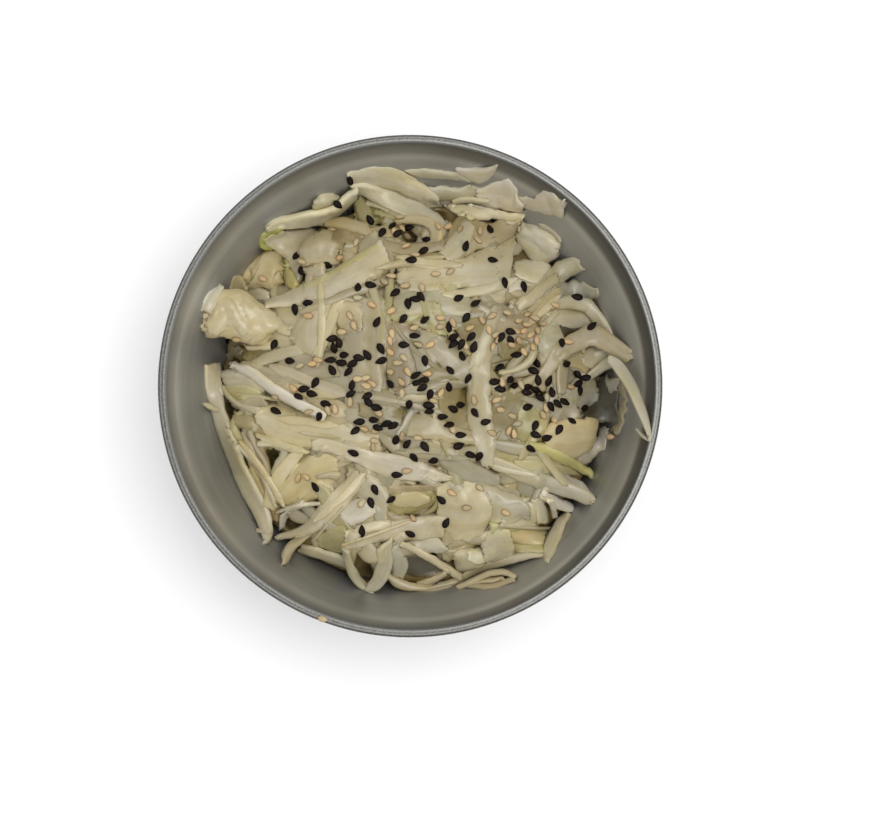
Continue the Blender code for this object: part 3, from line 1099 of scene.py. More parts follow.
LEFT_EDGE_PIECES = (
    ("strip", "vivid", ((281, 228), (268, 227), (261, 232), (258, 240), (260, 248), (268, 253)),
     ((281, 233), (271, 233), (266, 236), (264, 242), (267, 247), (272, 250))),
    ("strip", "lime", ((279, 256), (289, 261), (294, 272), (299, 284)),
     ((282, 264), (285, 274), (288, 286), (294, 290))),
    ("leaf", "clear", ((264, 239), (276, 233), (290, 231), (305, 229), (318, 228)),
     ((266, 246), (279, 255), (291, 262), (301, 263), (312, 258))),
    ("chunk", "clear", ((313, 203), (319, 194), (327, 191), (335, 194), (339, 201)),
     ((314, 211), (322, 209), (330, 208), (338, 206))),
    ("strip", "bright", ((264, 227), (270, 220), (277, 216), (300, 213), (320, 210), (335, 205),
      (346, 196), (357, 186)),
     ((266, 230), (285, 230), (305, 228), (322, 225), (338, 217), (348, 207), (357, 196))),
    ("leaf", "bright", ((243, 286), (255, 285), (268, 290)), ((246, 300), (258, 301), (270, 300))),
    ("chunk", "butter", ((243, 278), (247, 265), (258, 256), (271, 251), (278, 259), (282, 270)),
     ((244, 286), (254, 288), (262, 286), (271, 291), (278, 287), (282, 278))),
    ("leaf", "dim", ((227, 293), (233, 276), (241, 273), (246, 283)), ((231, 298), (240, 298), (248, 296))),
    ("chunk", "dim", ((303, 251), (313, 241), (326, 235), (337, 241), (341, 250)),
     ((303, 265), (313, 268), (325, 267), (335, 264), (341, 256))),
    ("leaf", "dim", ((301, 270), (312, 264), (323, 262)), ((303, 272), (313, 277), (325, 281))),
    ("leaf", "white", ((220, 370), (240, 366), (262, 376)), ((224, 386), (240, 387), (264, 394))),
    ("leaf", "green", ((224, 386), (242, 384), (262, 390)), ((226, 398), (240, 404), (258, 408))),
    ("leaf", "dim", ((226, 396), (240, 398), (262, 392)), ((238, 410), (252, 413), (270, 410))),
    ("leaf", "olive", ((232, 414), (250, 414), (262, 424), (276, 444)),
     ((236, 426), (248, 432), (260, 444), (270, 450))),
    ("leaf", "brown", ((238, 440), (246, 460), (258, 490), (268, 520)),
     ((262, 440), (270, 460), (276, 490), (280, 520))),
    ("leaf", "olive", ((240, 472), (250, 490), (262, 510)), ((252, 466), (262, 484), (272, 506))),
    ("thread", "clear", ((238, 444, 1), (246, 453, 2), (254, 462, 3), (262, 470, 2))),
    ("thread", "dim", ((250, 430, 2), (256, 446, 3), (265, 462, 3), (270, 478, 2))),
    ("strip", "clear", ((222, 386, 2), (230, 397, 2), (240, 405, 3), (258, 411, 4))),
    ("strip", "clear", ((258, 444, 2), (270, 443, 4), (283, 447, 4), (284, 457, 4), (278, 470, 4),
      (270, 486, 3))),
    ("strip", "pale", ((204, 364), (203, 385), (208, 402), (212, 416), (219, 436), (228, 460), (236, 480),
      (246, 500), (256, 518), (262, 532), (263, 545)),
     ((219, 362), (220, 380), (223, 395), (228, 415), (236, 438), (244, 460), (254, 480), (263, 496),
      (270, 512), (275, 530), (265, 545))),
    ("thread", "clear", ((202, 404, 1), (209, 406, 2), (218, 410, 2))),
    ("thread", "dim", ((255, 531, 1), (262, 532, 2), (270, 534, 2))),
    ("leaf", "clear", ((262, 305), (282, 302), (303, 306), (318, 318)),
     ((266, 346), (282, 349), (300, 347), (314, 342))),
    ("strip", "pale", ((243, 343), (256, 343), (272, 340)), ((247, 350), (260, 351), (276, 350))),
    ("chunk", "cream", ((203, 313), (213, 300), (222, 292), (236, 292), (250, 298), (262, 306), (277, 313)),
     ((202, 325), (206, 334), (216, 338), (232, 337), (246, 342), (262, 343), (272, 335))),
    ("ruffle", "cream", ((206, 316), (214, 303), (226, 295), (242, 296), (256, 303), (274, 314),
      (292, 326)),
     ((207, 331), (214, 336), (228, 333), (244, 336), (258, 338), (274, 334), (290, 338))),
    ("leaf", "grey", ((201, 311), (204, 300), (210, 289), (220, 285)),
     ((211, 313), (216, 305), (220, 297), (223, 290))),
    ("strip", "cream", ((262, 506), (266, 487), (274, 470), (287, 456), (301, 446)),
     ((276, 509), (280, 492), (288, 478), (297, 464), (306, 451))),
    ("strip", "clear", ((252, 366, 4), (270, 358, 6), (298, 350, 7), (322, 342, 5))),
    ("leaf", "dim", ((256, 374), (280, 360), (306, 352), (334, 350)),
     ((272, 392), (300, 384), (320, 380), (340, 376))),
)
RIGHT_EDGE_PIECES = (
    ("ruffle", "grey", ((556, 286), (566, 281), (576, 279), (586, 285), (600, 291)),
     ((560, 297), (572, 304), (585, 302), (598, 298))),
    ("leaf", "pale", ((546, 314), (560, 305), (578, 303), (596, 308), (608, 324)),
     ((554, 324), (568, 328), (584, 328), (598, 330), (606, 340))),
    ("strip", "clear", ((550, 303), (570, 297), (590, 301), (603, 314), (613, 330), (616, 346)),
     ((548, 311), (566, 308), (583, 311), (595, 323), (603, 338), (606, 350))),
    ("leaf", "clear", ((536, 330), (546, 318), (558, 322), (562, 334)),
     ((538, 352), (548, 362), (560, 352), (566, 342))),
    ("ruffle", "grey", ((562, 396), (570, 386), (579, 373), (590, 373), (598, 384), (598, 394)),
     ((560, 410), (571, 417), (583, 411), (593, 405), (597, 401))),
    ("ruffle", "dim", ((545, 404), (560, 398), (576, 402)), ((548, 424), (562, 426), (580, 420))),
    ("ruffle", "grey", ((606, 375), (614, 379), (621, 378)), ((606, 385), (612, 391), (619, 388))),
    ("ruffle", "dim", ((619, 382), (622, 395), (621, 410), (616, 424), (611, 430)),
     ((623, 382), (627, 400), (625, 415), (621, 428), (615, 434))),
    ("leaf", "clear", ((580, 356), (590, 344), (606, 343), (618, 350)),
     ((584, 366), (596, 370), (608, 366), (618, 360))),
    ("strip", "dim", ((556, 358), (555, 375), (556, 394)), ((567, 360), (567, 376), (565, 394))),
    ("strip", "dim", ((532, 386), (541, 367), (550, 350), (562, 339), (576, 332), (591, 325), (606, 331),
      (619, 341), (633, 350)),
     ((543, 391), (552, 375), (561, 362), (576, 352), (592, 346), (606, 353), (616, 359), (625, 363),
      (633, 360))),
    ("strip", "clear", ((582, 381, 2), (598, 370, 5), (614, 360, 6))),
    ("thread", "clear", ((500, 374, 2), (516, 369, 3), (529, 361, 3), (535, 345, 3), (543, 328, 3),
      (556, 312, 3))),
    ("ruffle", "milky", ((574, 456), (584, 447), (596, 438), (604, 426)),
     ((579, 465), (591, 460), (602, 450), (612, 436))),
    ("chunk", "butter", ((545, 432), (560, 420), (580, 417), (594, 423)),
     ((546, 449), (560, 456), (576, 458), (590, 448))),
)

# The strand that climbs out of the salad and over the lip, and the part split off its end, with the height
# of each place in millimetres.
RIM_STRAND = (
    (609, 359, 4, 38.5), (618, 366, 6, 40.5), (629, 383, 6, 44.5), (638, 402, 5.5, 48.7),
    (645, 420, 4.5, 52), (651, 441, 1.5, 55),
)
STRAND_SPLIT = ((637, 430, 1, 49), (643, 436, 2, 51.5), (651, 442, 1, 54.3))
RIM_STRAND_TONE = 0.84

BOTTOM_EDGE_PIECES = (
    # A painted-shade sheet in the dark gap between the loops.
    ("leaf", "shade", ((400, 556), (418, 552), (440, 558)), ((402, 574), (424, 577), (446, 570))),
    ("strip", "clear", ((302, 544), (315, 546), (330, 551), (345, 556), (354, 562)),
     ((298, 551), (312, 556), (330, 562), (345, 567), (354, 572))),
    ("strip", "dim", ((416, 584, 2), (431, 580, 3), (446, 572, 2))),
    ("strip", "dim", ((388, 572), (398, 578), (412, 583), (430, 585), (445, 582), (459, 575)),
     ((385, 577), (396, 586), (412, 591), (430, 592), (448, 589), (463, 580))),
    ("leaf", "grey", ((397, 544), (405, 552), (409, 566), (404, 577)),
     ((391, 550), (390, 564), (393, 578))),
    ("thread", "dim", ((468, 586, 2), (492, 587, 2), (514, 580, 2))),
    ("leaf", "dim", ((472, 580), (488, 575), (504, 576)), ((474, 584), (490, 583), (506, 580))),
    ("strip", "dim", ((457, 587), (472, 579), (490, 571), (505, 570), (515, 577)),
     ((458, 590), (475, 583), (491, 576), (504, 575), (515, 579))),
    ("strip", "pale", ((460, 574), (480, 562), (505, 556), (525, 553), (549, 553)),
     ((462, 580), (480, 571), (505, 564), (525, 559), (549, 557))),
    ("leaf", "grey", ((408, 541), (425, 536), (438, 537), (447, 547)),
     ((418, 551), (432, 553), (442, 554), (448, 551))),
    ("strip", "pale", ((402, 541), (420, 548), (440, 559), (455, 568), (463, 574)),
     ((399, 546), (414, 553), (430, 562), (446, 572), (459, 581))),
    ("chunk", "clear", ((454, 554), (462, 548), (476, 548), (486, 552)),
     ((455, 560), (463, 566), (476, 566), (486, 562))),
    ("leaf", "bright", ((466, 551), (478, 546), (492, 548)), ((470, 562), (480, 566), (492, 560))),
    ("leaf", "green", ((508, 543), (530, 542), (546, 544)), ((512, 554), (530, 552), (546, 553))),
    ("leaf", "butter", ((507, 531), (525, 529), (544, 532)), ((510, 542), (525, 545), (545, 544))),
    ("leaf", "pale", ((480, 536), (495, 527), (510, 528)), ((486, 563), (500, 561), (514, 556))),
    ("strip", "clear", ((566, 514), (556, 522), (549, 535), (544, 548), (546, 562)),
     ((572, 514), (566, 525), (561, 540), (555, 552), (549, 563))),
    ("leaf", "bright", ((500, 508), (514, 502), (526, 501), (538, 503)),
     ((502, 525), (516, 528), (532, 527), (546, 522))),
    ("strip", "pale", ((500, 505, 3), (514, 501, 4), (528, 502, 3))),
    ("strip", "grey", ((531, 500), (535, 508), (538, 523)), ((541, 499), (545, 508), (547, 522))),
    ("thread", "dim", ((500, 525, 1), (520, 527, 1.5), (550, 528, 1))),
    ("strip", "milky", ((542, 489), (555, 497), (567, 502), (572, 507)),
     ((539, 498), (552, 506), (562, 511), (570, 512))),
    ("strip", "milky", ((547, 499), (550, 508), (552, 516)), ((554, 498), (557, 507), (557, 517))),
)
UPPER_PIECES = (
    ("strip", "butter", ((325, 221), (345, 218), (365, 224), (377, 232)),
     ((326, 226), (345, 229), (362, 234), (374, 240))),
    ("strip", "butter", ((395, 221, 2), (418, 219, 4), (434, 226, 5), (437, 238, 6), (428, 248, 5))),
    ("strip", "dim", ((376, 238), (392, 241), (408, 245), (425, 244), (446, 240)),
     ((384, 250), (400, 256), (420, 256), (444, 250))),
    ("leaf", "olive", ((392, 255), (412, 253), (440, 252)), ((390, 272), (412, 264), (440, 262))),
    ("leaf", "dim", ((362, 237), (376, 229), (388, 242), (396, 262)),
     ((356, 262), (370, 262), (384, 266), (392, 276))),
    ("leaf", "pale", ((264, 301), (285, 292), (300, 284), (318, 277), (335, 268), (352, 257), (366, 248),
      (381, 239)),
     ((266, 308), (290, 306), (315, 302), (335, 297), (352, 291), (368, 283), (382, 275), (391, 262))),
    ("veil", "lime", ((303, 284), (318, 276), (335, 267), (352, 256), (366, 248), (378, 241)),
     ((304, 290), (320, 284), (337, 275), (354, 265), (368, 256), (379, 248))),
    ("strip", "dim", ((300, 312), (320, 302), (340, 294), (372, 281)),
     ((304, 318), (324, 311), (345, 301), (376, 290))),
    ("leaf", "pale", ((396, 276), (404, 268), (412, 265), (430, 262), (450, 259), (466, 256), (472, 251),
      (482, 249), (500, 243), (516, 235)),
     ((398, 284), (408, 289), (418, 292), (430, 290), (450, 287), (462, 290), (475, 294), (488, 298),
      (497, 303), (505, 303))),
    ("leaf", "milky", ((507, 280), (516, 278), (525, 279)), ((509, 293), (517, 291), (527, 290))),
    ("leaf", "bright", ((513, 262), (524, 259), (536, 259), (548, 262)),
     ((516, 276), (528, 281), (540, 284), (550, 286))),
    ("leaf", "clear", ((520, 296), (532, 284), (545, 271), (558, 262), (570, 257), (580, 259)),
     ((524, 305), (538, 300), (549, 294), (560, 285), (572, 277), (584, 270))),
    ("leaf", "cream", ((514, 302), (530, 290), (545, 279), (556, 272)),
     ((520, 313), (535, 303), (548, 291), (560, 281))),
    ("leaf", "pale", ((298, 318), (292, 335), (300, 350), (312, 358)),
     ((332, 303), (329, 322), (323, 340), (319, 357))),
    ("strip", "cream", ((332, 304), (325, 322), (318, 340), (311, 356)),
     ((345, 298), (339, 318), (331, 335), (322, 354))),
    ("leaf", "dim", ((346, 298), (340, 320), (339, 345), (344, 370), (352, 392)),
     ((384, 300), (387, 320), (389, 345), (386, 370), (380, 392))),
    ("leaf", "butter", ((337, 304), (350, 300), (362, 304)), ((340, 340), (352, 336), (362, 330))),
)
MIDDLE_PIECES = (
    ("leaf", "dim", ((388, 325), (386, 345), (387, 368), (392, 388)),
     ((414, 325), (418, 345), (418, 368), (412, 388))),
    ("leaf", "lime", ((420, 300), (424, 320), (434, 336)), ((440, 302), (446, 318), (452, 334))),
    ("leaf", "clear", ((410, 350), (418, 372), (426, 392)), ((426, 348), (438, 370), (440, 392))),
    ("leaf", "olive", ((458, 322), (474, 316), (492, 320)), ((460, 350), (474, 360), (488, 356))),
    ("leaf", "pale", ((425, 329), (440, 335), (455, 347), (466, 359), (473, 366)),
     ((411, 340), (428, 352), (442, 368), (452, 380), (462, 386))),
    ("leaf", "olive", ((414, 372), (434, 366), (452, 368)), ((418, 386), (434, 382), (456, 380))),
    ("leaf", "milky", ((405, 386), (403, 400), (408, 413)), ((415, 384), (424, 398), (419, 413))),
    ("leaf", "clear", ((345, 408), (370, 407), (395, 412), (425, 428)),
     ((345, 420), (365, 431), (385, 438), (420, 446))),
    ("leaf", "cream", ((412, 413), (430, 415), (455, 425), (477, 433)),
     ((405, 436), (430, 440), (450, 443), (474, 445))),
    ("leaf", "olive", ((360, 402), (380, 404), (404, 410)), ((358, 416), (380, 424), (402, 426))),
    ("strip", "white", ((411, 409), (403, 421), (396, 434)), ((415, 412), (409, 425), (401, 437))),
    ("strip", "lime", ((440, 440, 1), (445, 450, 2), (450, 460, 1.5))),
    ("leaf", "olive", ((494, 388), (508, 388), (522, 392), (530, 398)),
     ((490, 440), (505, 444), (520, 444), (530, 441))),
    ("leaf", "lime", ((520, 400), (532, 404), (545, 412)), ((515, 440), (530, 444), (548, 441))),
    ("strip", "clear", ((490, 443, 5), (515, 448, 7), (542, 451, 5))),
    ("leaf", "milky", ((553, 471), (566, 473), (579, 480), (591, 492)),
     ((548, 481), (560, 485), (574, 491), (588, 498))),
    ("strip", "bright", ((490, 454), (510, 461), (530, 469), (548, 475), (566, 481), (583, 489),
      (597, 499)),
     ((486, 466), (505, 474), (520, 482), (540, 489), (557, 495), (574, 501), (591, 506))),
)
LOWER_PIECES = (
    ("leaf", "yellow", ((273, 496), (284, 483), (294, 466), (306, 455), (322, 452), (337, 458)),
     ((275, 503), (290, 506), (304, 504), (318, 498), (330, 489), (339, 474))),
    ("strip", "dim", ((317, 477, 1), (328, 475, 4), (339, 476, 4))),
    ("strip", "milky", ((278, 529), (280, 515), (288, 507), (302, 499)),
     ((283, 524), (288, 515), (297, 509), (308, 504))),
    ("strip", "dim", ((281, 566), (283, 555), (290, 545), (302, 537)),
     ((284, 564), (293, 552), (303, 543), (314, 534))),
    ("leaf", "clear", ((482, 484), (498, 486), (514, 493), (528, 502)),
     ((484, 520), (500, 525), (515, 524), (530, 521))),
    ("leaf", "cream", ((436, 486), (448, 480), (464, 479), (480, 484), (490, 496)),
     ((440, 528), (453, 540), (468, 542), (482, 535), (493, 518))),
    ("leaf", "pale", ((345, 531), (365, 525), (385, 521), (410, 518), (430, 515), (448, 514)),
     ((346, 551), (365, 546), (385, 542), (405, 541), (425, 540), (444, 537))),
    ("leaf", "clear", ((348, 466), (365, 469), (380, 478), (389, 490)),
     ((348, 492), (362, 500), (376, 510), (386, 520))),
    ("leaf", "white", ((338, 509), (350, 500), (366, 498), (377, 505)),
     ((341, 521), (352, 527), (364, 522), (374, 516))),
    ("strip", "clear", ((346, 548, 4), (348, 560, 4), (353, 573, 4), (361, 585, 4), (373, 591, 3))),
    ("strip", "pale", ((384, 544, 8), (385, 558, 8), (383, 571, 8), (377, 583, 6), (366, 591, 2.5))),
    ("leaf", "pale", ((274, 536), (290, 531), (303, 525), (314, 512), (325, 498), (340, 484), (355, 470)),
     ((276, 539), (300, 537), (315, 533), (330, 522), (345, 508), (357, 492), (368, 478))),
    ("leaf", "cream", ((254, 409), (275, 404), (300, 414), (325, 420), (348, 425), (378, 434)),
     ((258, 425), (266, 437), (276, 446), (300, 449), (325, 448), (350, 453), (382, 458))),
)
TOPMOST_PIECES = (
    ("strip", "white", ((231, 363), (250, 364), (265, 376), (285, 389), (305, 401), (327, 413)),
     ((235, 369), (250, 378), (265, 389), (281, 399), (300, 409), (323, 421))),
    ("leaf", "fresh", ((528, 441), (545, 444), (560, 451), (575, 459), (586, 467), (594, 474)),
     ((531, 448), (547, 456), (562, 464), (575, 470), (585, 475), (592, 479))),
    ("veil", "white", ((311, 438), (328, 439), (345, 443), (370, 450), (395, 454), (415, 459), (432, 466),
      (453, 477)),
     ((312, 451), (328, 454), (345, 459), (365, 468), (385, 478), (400, 481), (415, 482), (450, 481))),
    ("leaf", "clear", ((492, 306), (482, 330), (473, 350), (468, 375), (466, 400), (468, 425), (474, 445),
      (482, 465)),
     ((504, 307), (498, 325), (493, 345), (491, 370), (491, 400), (494, 425), (497, 445), (493, 466))),
)

# Where fine strands lie on the other pieces: the middle of each group and its spread in pixels, the
# direction of its strands in degrees, clockwise from level, and how many there are.
STRAND_GROUPS = (
    (400, 192, 40, 10, 28, 4),
    (480, 204, 38, 9, 5, 4),
    (455, 272, 48, 16, -8, 5),
    (350, 330, 40, 25, 85, 2),
    (285, 380, 35, 16, 30, 3),
    (320, 430, 50, 13, 10, 3),
    (400, 462, 36, 8, 12, 3),
    (254, 478, 10, 22, 62, 2),
    (312, 512, 30, 20, -40, 3),
    (400, 530, 40, 8, -6, 2),
    (545, 475, 42, 14, 25, 7),
    (560, 295, 22, 14, -38, 4),
    (440, 350, 40, 34, 45, 2),
    (520, 425, 34, 18, -75, 2),
    (420, 572, 30, 6, 10, 2),
    (405, 400, 46, 24, 5, 3),
)
STRAND_LENGTH = (9 * MM, 24 * MM)
STRAND_HALF_WIDTH = (0.45 * MM, 1.5 * MM)
STRAND_SPREAD = math.radians(14)
STRAND_TONE = (0.86, 1.22)

# Loose shreds under and between the pieces, and how narrow one is to count as a thread.
SHREDS = 260
SHRED_REACH = 46 * MM
SHRED_LIMIT = 50.5 * MM
SHRED_LENGTH = (16 * MM, 38 * MM)
SHRED_HALF_WIDTH = (0.9 * MM, 3.0 * MM)
SHRED_STATION = 1.0 * MM
# How dark the shreds are made, as painted shade for lying under and between the pieces.
SHRED_SHADE = (0.58, 0.74)
SHRED_TINTS = ("cream", "pale", "cream", "clear", "green", "yellow", "cream", "pale")
THREAD_HALF_WIDTH = 1.3 * MM

# Shreds and strands keep out of hollows deeper than this, and a shred with fewer stations left is not laid.
DEEPEST_HOLLOW = 1.2 * MM
FEWEST_STATIONS = 9

# How much they bend, in radians in a metre, and how far from their ends they begin to taper.
SHRED_BEND = 20
STRAND_BEND = 16
SHRED_TAPER = 5 * MM
STRAND_TAPER = 4 * MM


def shred_path():
    """A random bent line of (x, y, half width) that keeps inside the bowl and out of the hollows."""
    distance = SHRED_REACH * math.sqrt(RANDOM.random())
    around = RANDOM.uniform(0, math.tau)
    heading = RANDOM.uniform(0, math.tau)
    bend = RANDOM.normal(0, SHRED_BEND)
    length = RANDOM.uniform(*SHRED_LENGTH)
    half = RANDOM.uniform(*SHRED_HALF_WIDTH)
    x, y = distance * math.cos(around), distance * math.sin(around)
    path = []
    for place in station_places(length, SHRED_STATION):
        step = place - (path[-1][3] if path else 0)
        if math.hypot(x, y) > SHRED_REACH:
            heading += 0.3 * math.sin(math.atan2(-y, -x) - heading)
        x += step * math.cos(heading)
        y += step * math.sin(heading)
        heading += bend * step
        hollow = hollow_depth(np.array(x), np.array(y), HEAP_TOP - CORE_DROP)
        if math.hypot(x, y) > SHRED_LIMIT or hollow > DEEPEST_HOLLOW:
            break
        taper = min(1, 0.35 + place / SHRED_TAPER, 0.35 + (length - place) / SHRED_TAPER)
        path.append((x, y, half * taper, place))
    return np.array(path)[:, :3] if len(path) >= FEWEST_STATIONS else None


def make_shreds(batch):
    """Seeded random shreds that fill the bowl between the pieces that the photo shows in full."""
    for number in range(SHREDS):
        path = shred_path()
        if path is None:
            continue
        kind = "leaf" if number % 2 == 0 else "strip"
        if path[:, 2].max() < THREAD_HALF_WIDTH:
            kind = "thread"
        tint = SHRED_TINTS[int(RANDOM.integers(len(SHRED_TINTS)))]
        plan, columns = strip_plan(path, KINDS[kind]["ragged"])
        # Painted shade on the shred.
        tone = RANDOM.uniform(*SHRED_SHADE)
        Piece(kind, plan, columns).lay(batch, TINTS[tint], tone=tone)


def strand_path(middle_x, middle_y, direction):
    """A slightly bent line of (x, y, half width) through a point, thinner towards its ends."""
    length = RANDOM.uniform(*STRAND_LENGTH)
    half = RANDOM.uniform(*STRAND_HALF_WIDTH)
    bend = RANDOM.normal(0, STRAND_BEND)
    places = station_places(length, STATION)
    heading = direction + bend * (places - length / 2)
    steps = np.diff(places, prepend=places[0])
    x, y = np.cumsum(steps * np.cos(heading)), np.cumsum(steps * np.sin(heading))
    x, y = x + middle_x - x.mean(), y + middle_y - y.mean()
    taper = np.minimum(1, 0.3 + np.minimum(places, length - places) / STRAND_TAPER)
    hollow = hollow_depth(x, y, HEAP_TOP - CORE_DROP)
    open_place = (np.hypot(x, y) < SHRED_LIMIT) & (hollow < DEEPEST_HOLLOW)
    return np.column_stack((x, y, half * taper))[open_place] if open_place.mean() > 0.8 else None


def make_strands(batch):
    """Fine strands on the broad pieces, each nearly the colour of what it lies on."""
    for px, py, wide, high, degrees, count in STRAND_GROUPS:
        for _ in range(count):
            middle_x = px + wide * RANDOM.uniform(-1, 1)
            middle_y = py + high * RANDOM.uniform(-1, 1)
            x, y = on_level(middle_x, middle_y, HEAP_TOP)
            path = strand_path(x, y, math.radians(-degrees) + RANDOM.normal(0, STRAND_SPREAD))
            if path is None:
                continue
            beneath = pile.colour[pile.cell(path[:, 0], path[:, 1])].mean(axis=0)
            plan, columns = strip_plan(path, KINDS["fine"]["ragged"])
            tone = RANDOM.uniform(*STRAND_TONE)
            Piece("fine", plan, columns).lay(batch, beneath, tone=tone)


BATCH_NAMES = ("core", "shreds", "strips", "leaves", "wet_leaves", "chunks", "strands")
BATCH_OF_KIND = {
    "strip": "strips", "thread": "strips", "leaf": "leaves", "veil": "leaves", "ruffle": "wet_leaves",
    "chunk": "chunks",
}
batches = {name: Batch() for name in BATCH_NAMES}


def lay_core(batch):
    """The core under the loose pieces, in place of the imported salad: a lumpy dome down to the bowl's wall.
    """
    radius = np.linspace(0, 1, CORE_RINGS + 1)[1:] * CORE_EDGE
    turn = np.arange(CORE_SEGMENTS) * math.tau / CORE_SEGMENTS
    x, y = radius[:, None] * np.cos(turn), radius[:, None] * np.sin(turn)
    z = core_height(x, y)
    low_radius = radius[::-6]
    low_x, low_y = low_radius[:, None] * np.cos(turn), low_radius[:, None] * np.sin(turn)
    low_z = np.repeat(wall_height(low_radius)[:, None] + 0.1 * MM, CORE_SEGMENTS, axis=1)
    rings = np.stack((np.vstack((x, low_x)), np.vstack((y, low_y)), np.vstack((z, low_z))), axis=-1)
    # The core takes its painted-shade colour.
    batch.add(rings, rings[..., :2], np.broadcast_to(CORE_SHADE_COLOUR, rings.shape))


def photo_strip(points, ragged):
    """Plan of a strip along a path of (x, y, half width, anything else) in pixels, and its stations."""
    path = smooth_path(points, STATION / METRES_PER_PX)
    plan, columns = strip_plan(path[:, :3], ragged, 1 / METRES_PER_PX)
    return plan[:, ::-1], columns, path


def lay(pieces, tone):
    """Lays pieces read off the photograph on the pile, one after the other."""
    for kind, tint, *outline in pieces:
        form = KINDS[kind]
        if len(outline) == 2:
            plan, columns = sheet_plan(*outline, form["ragged"], form["torn"])
        else:
            plan, columns, _ = photo_strip(outline[0], form["ragged"])
        Piece(kind, from_photo(plan), columns).lay(batches[BATCH_OF_KIND[kind]], TINTS[tint], tone=tone)


def lay_at_heights(points):
    """Lays a strip whose heights, in millimetres, are given with its path."""
    plan, columns, path = photo_strip(points, KINDS["strip"]["ragged"])
    heights = path[:, 3] * MM
    piece = Piece("strip", from_photo(plan, heights), columns)
    piece.lay(batches["strips"], TINTS["grey"], heights, RIM_STRAND_TONE)


lay_core(batches["core"])
make_shreds(batches["shreds"])

# How light each group is: the deep ones are darkened as painted shade, for the shadow they lie in, and those
# in the middle are darker than those at the edge.
for group, tone in (
    (DEEP_PIECES, 0.72),
    (TOP_EDGE_PIECES, 0.96),
    (LEFT_EDGE_PIECES, 0.96),
    (RIGHT_EDGE_PIECES, 0.90),
    (BOTTOM_EDGE_PIECES, 0.99),
    (UPPER_PIECES, 0.82),
    (MIDDLE_PIECES, 0.66),
    (LOWER_PIECES, 0.85),
):
    lay(group, tone)
make_strands(batches["strands"])
lay(TOPMOST_PIECES, 0.88)
lay_at_heights(RIM_STRAND)
lay_at_heights(STRAND_SPLIT)


# ---------------------------------------------------------------- sesame
# Each seed is (x, y) in pixels of the photograph and its direction in degrees, clockwise from level.
BLACK_SEEDS = (
    (338, 205, 36), (297, 255, -40), (301, 271, 75), (328, 266, 15), (308, 303, -5), (295, 310, 85),
    (350, 181, 80), (351, 212, 80), (370, 220, 60), (382, 233, -60), (392, 226, -50), (409, 228, -5),
    (398, 234, -35), (426, 240, 20), (423, 251, -25), (411, 260, 0), (466, 246, -70), (490, 229, 72),
    (358, 287, 88), (371, 285, 8), (395, 293, -42), (415, 299, 5), (421, 297, 50), (408, 304, 85),
    (459, 298, -25), (476, 303, -30), (493, 260, 5), (505, 283, 85), (524, 287, 75), (577, 297, 5),
    (229, 341, 0), (274, 345, -65), (290, 361, 8), (315, 383, -60), (304, 389, 0), (299, 397, 30),
    (312, 394, 15), (276, 411, 30), (319, 417, -65), (326, 404, 15), (332, 339, -12), (339, 343, 70),
    (334, 348, 80), (344, 355, 3), (330, 360, -5), (341, 363, 12), (332, 370, 57), (348, 372, -45),
    (352, 364, -30), (359, 358, 15), (367, 355, 55), (352, 385, -80), (351, 394, -25), (367, 396, -30),
    (369, 403, 40), (377, 408, 5), (359, 422, -5), (355, 431, -35), (374, 420, 0), (378, 428, 20),
    (386, 424, -20), (393, 426, -35), (396, 440, -75), (407, 444, -45), (381, 349, 60), (381, 361, -20),
    (377, 322, -62), (403, 319, -50), (404, 345, 3), (415, 336, 0), (425, 320, -35), (425, 361, 85),
    (416, 375, -35), (417, 383, -15), (424, 380, 0), (422, 388, -30), (390, 384, 50), (409, 405, -70),
    (430, 395, -70), (429, 406, 10), (429, 412, -8), (443, 417, -5), (453, 409, 25), (461, 405, -10),
    (449, 425, -15), (461, 435, -5), (459, 446, -25), (450, 370, 50), (449, 387, 80), (449, 327, 85),
    (466, 318, -55), (454, 337, -30), (453, 345, -40), (471, 337, -45), (461, 345, -70), (462, 356, 70),
    (474, 347, -65), (468, 379, -60), (475, 413, 50), (486, 422, -10), (511, 332, 15), (501, 338, -60),
    (511, 341, 60), (516, 355, 0), (499, 368, -40), (510, 380, -50), (514, 386, -10), (495, 382, -5),
    (500, 389, 5), (536, 363, 55), (534, 371, 20), (538, 380, 85), (549, 381, -65), (528, 387, -10),
    (527, 393, 10), (535, 390, 20), (540, 398, 40), (552, 392, 80), (528, 407, -15), (551, 407, 60),
    (558, 404, 40), (565, 402, 30), (562, 343, -85), (567, 364, -30), (578, 375, 55), (585, 378, -10),
    (578, 384, -20), (580, 391, -85), (592, 326, -40), (584, 408, -15), (572, 421, 35), (535, 426, -65),
    (536, 435, 20), (547, 438, -20), (559, 430, -60), (531, 449, 35), (471, 455, 15), (479, 457, -70),
    (425, 447, 55), (414, 458, 45), (433, 461, -20), (353, 453, 15), (397, 475, 8), (375, 490, 60),
    (371, 503, 70), (391, 500, -30), (441, 500, 40), (446, 523, -60), (362, 531, 85), (410, 534, 25),
    (315, 487, 60),
)
